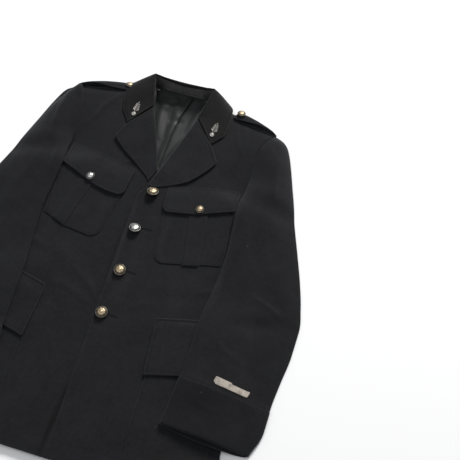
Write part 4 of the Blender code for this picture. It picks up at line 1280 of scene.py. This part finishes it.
def make_collar():
    """The leaf, folded over at the roll line, and the stand inside it."""
    half = np.array(COLLAR_ROWS, float)
    around = np.concatenate((half, half[-2::-1] * (-1, 1, 1)))
    around[-3:, 2, 0] += (3, 6.5, 4)  # the right point is narrower
    seam_line, roll, edge = (collar_curve(around[:, k]) for k in range(3))
    fine = np.linspace(0, len(around) - 1, 1400)
    w = even_rows(edge(fine) * 0.6 + roll(fine) * 0.4, fine, 3.4, FINE_RINGS)
    r, e, s = roll(w), edge(w), seam_line(w)
    out = e - r
    out[:, 2] = 0
    out /= np.maximum(np.linalg.norm(out, axis=1), 1e-9)[:, None]
    columns = []
    for drop, inside in ROLL_DROPS:
        fall = np.minimum(drop, np.maximum(r[:, 2] - s[:, 2], 0) * 0.8)
        columns.append(r - out * inside * 0.75 - np.stack((0 * w, 0 * w, fall), axis=1))
    tail = [1 - a / LEAF_WIDTH for a in FINE_RINGS[::-1]]
    for u in [*np.linspace(0, 1 - FINE_RINGS[-1] / LEAF_WIDTH, 14), *tail[1:]]:
        swell = 1.6 * math.sin(math.pi * u) + 0.5 * math.sin(math.pi * u) ** 0.5
        swell = swell + 0.5 * ripple(w * 22, np.full(len(w), u * 60), 45, 81)
        columns.append(r * (1 - u) + e * u - (0, 0, WOOL / 2) + (out * 0.5 + (0, 0, 1)) * swell[:, None])
    grid = np.stack(columns, axis=1)
    cloth_grid(
        "collar_leaf", grid[::-1, ::-1], WOOL, "collar", skin=lambda edge: seam(edge, 4.8, 0.3, 0.35),
    )
    stitch(grid[:, -9] + (0, 0, WOOL / 2 + 0.1))

    top, foot = r - out * 3.6 - (0, 0, 3.4), s - (0, 0, 1.2)
    columns = []
    for u in np.linspace(0, 1, 16):
        columns.append(foot * (1 - u) + top * u + out * (0.8 * math.sin(math.pi * u)) + out * 0.6)
    keep = (w > 0.85) & (w < len(around) - 1.85)
    grid = np.stack(columns, axis=1)[keep]
    cloth_grid("collar_stand", grid, STAND_WOOL, "stand", wear=0)
    stitch(grid[:, 4] - out[keep] * 1.1)


EPAULETTE_ROWS = (
    # share along the shoulder, how far on to the front, how much nearer the right side starts
    (0.42, 20, -0.1), (0.445, 27, -0.08), (0.47, 28.5, -0.05),
    (0.62, 25, 0), (0.82, 19, 0.01), (0.998, 13, 0.037),
)


def strap_point(path, run, a, far, swell):
    """A point of a strap, this far on to the chest from the shoulder seam, or down behind it."""
    if a < 0:
        base = path[0] + (0, 1.0, 0) + np.array((0, 0, -1)) * min(-a, path[0][2] - 0.9)
    else:
        base = np.array([np.interp(a, run, path[:, k]) for k in range(3)])
    loose = swell * bell(a, 14, 11)
    lifted = 1.8 * blend(10, far, a) * (0.4 + swell)
    return base + (0.25, 1.0 + 9.0 * loose, 1.3 + 8.0 * loose + lifted)


def make_epaulettes():
    """Straps along the shoulders, their far halves down behind; they stand highest near the sleeve."""
    share, reach, nearer = (curve(column) for column in zip(*EPAULETTE_ROWS))
    shoulder = np.linspace(FRONT_LAST, 12, 60)
    shares = spread(45, 3.0, FINE_RINGS[:10])
    for side_name, side in SIDES:
        rows = []
        for q in np.linspace(0, len(EPAULETTE_ROWS) - 1, 46):
            x, y = front_place(shoulder, share(q) + nearer(q) * (side < 0), 1)
            path = np.stack((x, y, body_height(shoulder, x)), axis=1)
            run, far = run_along(path), reach(q)
            swell = math.sin(math.pi * min((q / 5.5) ** (1.3 if side > 0 else 1.5), 1)) ** 0.7
            rows.append([strap_point(path, run, a, far, swell) for a in shares * (far + 9) - 9])
        grid = np.array(rows).transpose(1, 0, 2)[::-1]
        grid[..., 2] = np.maximum(grid[..., 2], 1.2)
        name = "epaulette_" + side_name
        cloth_grid(name, handed(grid, side), STRAP_WOOL, "wool", skin=lambda edge: seam(edge, 4.6, 0.3, 0.3))


def turned(profile, sides):
    """Points and faces of a round piece turned from (radius, height) steps, all off the axis."""
    spokes = [(math.cos(2 * math.pi * n / sides), math.sin(2 * math.pi * n / sides)) for n in range(sides)]
    points = [(radius * c, radius * s, height) for radius, height in profile for c, s in spokes]
    faces = grid_faces(len(profile), sides, closed=True)
    top = (len(profile) - 1) * sides
    return np.array(points), [*faces, tuple(range(sides))[::-1], tuple(range(top, top + sides))]


LARGE_BUTTON, SMALL_BUTTON = (24, 3.2, 3.4), (17, 2.6, 2.0)  # width, shank radius, shank height
DOME = (
    # from the plate's edge over the rim to the boss, as shares of the button's radius: radius, height
    (0.86, 0), (0.95, 0.03), (0.99, 0.08), (1, 0.15), (0.985, 0.21), (0.95, 0.255), (0.90, 0.27),
    (0.86, 0.255), (0.835, 0.235), (0.81, 0.25), (0.77, 0.30), (0.71, 0.35), (0.65, 0.395),
    (0.58, 0.435), (0.51, 0.47), (0.44, 0.495), (0.37, 0.515), (0.32, 0.52), (0.28, 0.515), (0.255, 0.53),
    (0.21, 0.565), (0.15, 0.59), (0.08, 0.605), (0.01, 0.61),
)
LEAVES = 8
ROPE_TURNS = 32


def make_button(name, size, at, lean, finish, spin):
    """A domed button: shank, rolled rim with a rope line, ring of leaves and middle boss."""
    width, shank, stand = size
    r = width / 2
    profile = [(shank * 0.9, 0), (shank, 0.1 * r), (shank, stand)]
    points, faces = turned(profile + [(r * across, stand + up * r) for across, up in DOME], 96)
    radius, angle = np.hypot(points[:, 0], points[:, 1]) / r, np.arctan2(points[:, 1], points[:, 0])
    face = points[:, 2] > stand + 0.12 * r
    rope = bell(radius, 0.9, 0.045) * np.cos(angle * ROPE_TURNS + radius * 40) * 0.012 * r
    petals = np.cos(angle * LEAVES)
    leaves = bell(radius, 0.6, 0.13) * np.maximum(petals, -0.2) * 0.03 * r
    points[:, 2] += np.where(face, rope + leaves, 0)
    hollow = bell(radius, 0.83, 0.03) + 0.8 * bell(radius, 0.30, 0.04) + 0.55 * bell(radius, 0.68, 0.09)
    hollow += blend(0.3, 0.4, radius) * (0.35 - 0.3 * np.maximum(petals, 0))
    turn = np.array(Matrix.Rotation(math.radians(lean), 3, "X") @ Matrix.Rotation(spin, 3, "Z"))
    wear_grime_and_painted_light = np.where(face, np.clip(hollow, 0, 1), 0.6)
    button = make_mesh(name, points @ turn.T + np.asarray(at, float), faces, finish, wear_grime_and_painted_light, sharp=50)
    paint_points(button.data, "rim", 0.85 * blend(0.62, 0.82, radius))


def surface_of(*names):
    """Finds the highest point of the named pieces over a place."""
    trees = []
    for name in names:
        shell = bmesh.new()
        shell.from_mesh(PLACES[name].data)
        trees.append(BVHTree.FromBMesh(shell))
        shell.free()

    def at(x, y):
        start = Vector((x * 0.001, (y + MIDDLE_Y) * 0.001, 1))
        hits = [tree.ray_cast(start, Vector((0, 0, -1)))[:2] for tree in trees]
        hits = [(hit.z * 1000, normal) for hit, normal in hits if hit is not None]
        return max(hits, key=lambda hit: hit[0]) if hits else (0.0, Vector((0, 0, 1)))

    return at


def make_buttons():
    """The buttons of the front, the breast flaps and the straps, and the buttonholes."""
    chest = surface_of("front_left", "lapel_left")
    for number, (x, y, tilt, finish) in enumerate(FRONT_BUTTONS, 1):
        z = max(chest(x + a, y + b)[0] for a, b in ((0, 0), (3, 0), (-3, 0), (0, 3), (0, -3)))
        z += LARGE_BUTTON[1] * abs(math.sin(math.radians(tilt)))
        make_button(f"front_button_{number}", LARGE_BUTTON, (x, y, z - 0.3), tilt, finish, 0.13 * number)
    for side_name, side in SIDES:
        x, y = BREAST_POCKETS[side_name]["button"]
        z = surface_of("breast_flap_" + side_name)(x * side, y)[0]
        finish = "gilt" if side > 0 else "silver"
        make_button("breast_button_" + side_name, SMALL_BUTTON, (x * side, y, z - 0.3), 0, finish, 0.3)
        name = "epaulette_button_" + side_name
        low, high = (np.array(corner) * 1000 - (0, MIDDLE_Y, 0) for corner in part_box(name))
        middle = (low + high) / 2
        x, y = max(middle[0], -112.0), middle[1] - (2.0 if side > 0 else 4.0)
        z, normal = surface_of("epaulette_" + side_name)(x, y)
        lean = -math.degrees(math.atan2(normal.y, normal.z))
        make_button(name, SMALL_BUTTON, (x, y, z - 0.2), lean, "gilt", 0.5)
    for x, y in BUTTONHOLES:
        make_buttonhole(x, y, chest)


def make_buttonhole(x, y, chest):
    """The corded lips of a buttonhole, wider at one end."""
    around, sides = 56, 8
    ring = []
    for n in range(around):
        a, b = math.cos(2 * math.pi * n / around), math.sin(2 * math.pi * n / around)
        ring.append((x + 10.5 * np.sign(a) * abs(a) ** 0.35, y + (1.15 if a < 0.75 else 1.7) * b))
    points, faces = [], []
    for n, (px, py) in enumerate(ring):
        before, after = ring[n - 1], ring[(n + 1) % around]
        along = Vector((after[0] - before[0], after[1] - before[1])).normalized()
        z = chest(px, py)[0]
        swell = 1 + 0.16 * math.cos(n * math.pi)
        for m in range(sides):
            angle = 2 * math.pi * m / sides
            aside, up = 0.6 * math.cos(angle) * swell, 0.4 * math.sin(angle) * swell
            points.append((px - along.y * aside, py + along.x * aside, z - 0.1 + up))
            k, p = (n + 1) % around, (m + 1) % sides
            faces.append((k * sides + m, k * sides + p, n * sides + p, n * sides + m))
    make_mesh(f"buttonhole_{round(-y)}", points, faces, "thread")


def leaf_form(y, length, width, angle, height):
    """A pointed leaf with a ridge, which starts at y on a badge's middle line."""
    c, d, steps = math.cos(angle), math.sin(angle), 9
    points = []
    for s in (k / steps for k in range(steps + 1)):
        half = width / 2 * math.sin(math.pi * s) ** 0.8 + 0.02
        ridge = height * math.sin(math.pi * min(s + 0.08, 1)) ** 0.4
        for share, lift in ((-1, 0), (-0.55, 0.62), (0, 1.0), (0.55, 0.62), (1, 0)):
            a, b = length * s, half * share
            points.append((a * c - b * d, y + a * d + b * c, lift * ridge))
    starts = [k * 5 + m for k in range(steps) for m in range(4)]
    return points, [(p, p + 5, p + 6, p + 1) for p in starts]


BADGE_DISC = (
    # radius, height
    (4.4, 0), (4.5, 0.9), (4.2, 1.35), (3.7, 1.5), (3.2, 1.15), (2.9, 0.95), (2.5, 1.2),
    (1.9, 1.6), (1.0, 1.9), (0.05, 2.0),
)


def badge_forms():
    """A ringed disc under a sprig: a stem, four pairs of leaves and one at the tip."""
    yield turned(BADGE_DISC, 40)
    yield leaf_form(4.5, 24, 1.7, math.pi / 2, 1.7)
    for k, y in enumerate((6.0, 10.5, 15, 19)):
        for way in (-1, 1):
            yield leaf_form(y, 9.8 - k * 0.8, 4.6 - 0.3 * k, math.pi / 2 - way * (0.78 - 0.05 * k), 1.9)
    yield leaf_form(22, 7.6, 3.8, math.pi / 2, 2.0)


BADGE_METAL = 0.0006  # its thickness in metres


def make_badges():
    """A small metal badge on each collar point."""
    leaf = surface_of("collar_leaf")
    points, faces = [], []
    for more, more_faces in badge_forms():
        faces += [tuple(k + len(points) for k in face) for face in more_faces]
        points += [tuple(point) for point in more]
    for side_name, ((bx, by), turn) in BADGES.items():
        c, s = math.cos(math.radians(turn)), math.sin(math.radians(turn))
        placed = [(bx + x * c - y * s, by + x * s + y * c, z) for x, y, z in points]
        placed = [(x, y, leaf(x, y)[0] + 0.25 + z) for x, y, z in placed]
        wear_grime_and_painted_light = [max(0.0, 0.9 - z * 0.75) for _, _, z in points]
        piece = make_mesh("collar_badge_" + side_name, placed, faces, "badge", wear_grime_and_painted_light, sharp=55)
        solid = piece.modifiers.new("thickness", "SOLIDIFY")
        solid.thickness, solid.offset = BADGE_METAL, -1
        flat = piece.data
        piece.data = final_mesh(piece)
        piece.modifiers.clear()
        bpy.data.meshes.remove(flat)


def final_mesh(piece):
    """A plain mesh of an object with its modifiers."""
    return bpy.data.meshes.new_from_object(piece.evaluated_get(bpy.context.evaluated_depsgraph_get()))


def make_bar():
    """The woven bar on the left sleeve; its tucked-under ends are shown only by rounded edges."""
    sleeve = surface_of("top_sleeve_left")
    outline = rounded([(x, y, 0.6 if 270 < x < 280 else 2.2) for x, y in SLEEVE_BAR], 4)

    def heights(x, y):
        return np.array([sleeve(float(a), float(b))[0] for a, b in zip(x, y)])

    def top(x, y, edge):
        rib = 0.12 * np.cos((x * 0.97 - y * 0.24) * 2 * math.pi / 2.4)
        return heights(x, y) + 1.9 + 0.35 * blend(0, 4, edge) + rib + 0.25 * ripple(x, y, 14, 91)

    rings = (0, 0.2, 0.5, 0.9, 1.4)
    panel("sleeve_bar_left", outline, top, lambda x, y, edge: heights(x, y) + 0.2, "braid", 1.0, rings)


STITCH_SIZES = {"Pitch": 0.0031, "Stitch Length": 0.0023, "Thread": 0.00032}  # metres


def stitch_tree():
    """A node tree that lays small cylinders of thread along curves."""
    tree = bpy.data.node_groups.new("stitches along lines", "GeometryNodeTree")
    tree.interface.new_socket("Geometry", in_out="INPUT", socket_type="NodeSocketGeometry")
    for name in STITCH_SIZES:
        tree.interface.new_socket(name, in_out="INPUT", socket_type="NodeSocketFloat")
    tree.interface.new_socket("Geometry", in_out="OUTPUT", socket_type="NodeSocketGeometry")

    def node(kind, **settings):
        made = tree.nodes.new(kind)
        for key, value in settings.items():
            setattr(made, key, value)
        return made

    inputs, output = node("NodeGroupInput"), node("NodeGroupOutput")
    points = node("GeometryNodeCurveToPoints", mode="LENGTH")
    cylinder = node("GeometryNodeMeshCylinder", fill_type="TRIANGLE_FAN")
    cylinder.inputs["Vertices"].default_value = 6
    along = node("FunctionNodeAlignRotationToVector", axis="Z")
    instances, realize = node("GeometryNodeInstanceOnPoints"), node("GeometryNodeRealizeInstances")
    paint = node("GeometryNodeSetMaterial")
    paint.inputs["Material"].default_value = MATERIALS["thread"]
    for source, result, target, socket in (
        (inputs, "Geometry", points, "Curve"), (inputs, "Pitch", points, "Length"),
        (inputs, "Thread", cylinder, "Radius"), (inputs, "Stitch Length", cylinder, "Depth"),
        (points, "Tangent", along, "Vector"), (points, "Points", instances, "Points"),
        (cylinder, "Mesh", instances, "Instance"), (along, "Rotation", instances, "Rotation"),
        (instances, "Instances", realize, "Geometry"), (realize, "Geometry", paint, "Geometry"),
        (paint, "Geometry", output, "Geometry"),
    ):
        tree.links.new(source.outputs[result], target.inputs[socket])
    return tree


def make_stitches():
    """Fine stitches along every kept run, laid by a node tree and made one mesh."""
    lines = bpy.data.curves.new("stitch lines", "CURVE")
    lines.dimensions = "3D"
    for run in STITCH_LINES:
        spline = lines.splines.new("POLY")
        spline.points.add(len(run) - 1)
        spline.points.foreach_set("co", np.column_stack((metres(run), np.ones(len(run)))).ravel())
    guide = bpy.data.objects.new("stitch lines", lines)
    bpy.context.scene.collection.objects.link(guide)
    modifier = guide.modifiers.new("stitches", "NODES")
    modifier.node_group = stitch_tree()
    for item in modifier.node_group.interface.items_tree:
        if item.in_out == "INPUT" and item.name in STITCH_SIZES:
            modifier[item.identifier] = STITCH_SIZES[item.name]
    mesh = final_mesh(guide)
    bpy.data.objects.remove(guide)
    mesh.shade_smooth()
    place("stitching", mesh)


SHEETS = {
    # piece, or both of a pair: flat width and length in metres of the cut that shows, and its area
    "front_left": (0.33, 0.81, 0.206),
    "front_right": (0.33, 0.81, 0.208),
    "back": (0.60, 0.80, 0.397),
    "back_lining": (0.16, 0.22, 0.0315),
    "lapel_left": (0.12, 0.18, 0.0105),
    "lapel_right": (0.12, 0.17, 0.0085),
    "collar_leaf": (0.42, 0.085, 0.0215),
    "collar_stand": (0.26, 0.045, 0.0062),
    "epaulette_left": (0.10, 0.05, 0.0033),
    "epaulette_right": (0.10, 0.05, 0.0041),
    "top_sleeve": (0.24, 0.66, 0.1195),
    "under_sleeve": (0.16, 0.46, 0.0635),
    "cuff": (0.40, 0.13, 0.0445),
    "sleeve_bar_left": (0.07, 0.025, 0.0009),
}


def pocket_cuts():
    """Flat sizes and areas of the pockets and flaps, from their outlines."""
    cuts = {}
    for key, specs in (("breast", BREAST_POCKETS), ("lower", LOWER_POCKETS)):
        for side_name, spec in specs.items():
            for part, word in (("body", "pocket"), ("flap", "flap")):
                outline = rounded(spec[part])
                low, high = np.min(outline, axis=0) / 1000, np.max(outline, axis=0) / 1000
                size = float(high[0] - low[0]), float(high[1] - low[1])
                cuts[f"{key}_{word}_{side_name}"] = (*size, abs(signed_area(outline)) / 1e6)
    return cuts


def declare():
    """Hangs every piece from the root body and hides the CAD part that it stands for; the flat cuts are
    gathered but not used.
    """
    cuts = SHEETS | pocket_cuts()
    for name, piece in PLACES.items():
        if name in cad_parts:
            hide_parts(name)
        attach(piece, "root")


def add_object(name, data):
    """A new object of the stage."""
    made = bpy.data.objects.new(name, data)
    bpy.context.scene.collection.objects.link(made)
    return made


def look_along(direction):
    """The rotation of a camera or lamp that looks this way."""
    return direction.to_track_quat("-Z", "Y").to_euler()


LIGHTS = (
    # name, place, aim, size, watts, colour
    ("key", (0.7, 4.2, 2.9), (0.05, 0.0, 0), 1.7, 300, (1.0, 0.99, 0.97)),
    ("top", (-0.6, -0.3, 3.4), (0, 0, 0), 2.6, 30, (0.98, 0.99, 1.0)),
)
CAMERA_LENS, CAMERA_AWAY = 86.087, 2.20421
CAMERA_ELEVATION, CAMERA_TURN = math.radians(67.0), math.radians(-16.56)
CAMERA_TARGET = Vector((0.17953, 0.12381, 0))


def make_stage():
    """Pale floor, soft studio light and the camera over the hem side."""
    scene = bpy.context.scene
    mesh = bpy.data.meshes.new("floor")
    corners = [(x, y, -0.0004) for x, y in ((-6, -6), (6, -6), (6, 6), (-6, 6))]
    mesh.from_pydata(corners, [], [(0, 1, 2, 3)])
    mesh.materials.append(Nodes("pale floor").finish(Base_Color=(0.86, 0.86, 0.86, 1), Roughness=0.9))
    floor = add_object("floor", mesh)
    scene.world = bpy.data.worlds.new("studio")
    scene.world.use_nodes = True
    background = scene.world.node_tree.nodes["Background"]
    background.inputs["Color"].default_value = (0.93, 0.95, 1.0, 1)
    background.inputs["Strength"].default_value = 0.36
    for name, spot, aim, size, watts, colour in LIGHTS:
        light = bpy.data.lights.new(name, "AREA")
        light.shape = "DISK"
        light.size, light.energy, light.color = size, watts, colour
        lamp = add_object(name, light)
        lamp.location, lamp.rotation_euler = spot, look_along(Vector(aim) - Vector(spot))
    level = math.cos(CAMERA_ELEVATION)
    across, along = math.sin(CAMERA_TURN) * level, math.cos(CAMERA_TURN) * level
    forward = Vector((across, along, -math.sin(CAMERA_ELEVATION)))
    lens = bpy.data.cameras.new("camera")
    lens.sensor_width, lens.lens = 36, CAMERA_LENS
    camera = add_object("camera", lens)
    camera.location, camera.rotation_euler = CAMERA_TARGET - forward * CAMERA_AWAY, look_along(forward)
    scene.camera = camera
    scene.view_settings.view_transform = "Standard"


make_stage()
make_back()
make_lining()
make_fronts()
make_lapels()
make_pockets()
make_sleeves()
make_collar()
make_epaulettes()
make_buttons()
make_badges()
make_bar()
make_stitches()
declare()
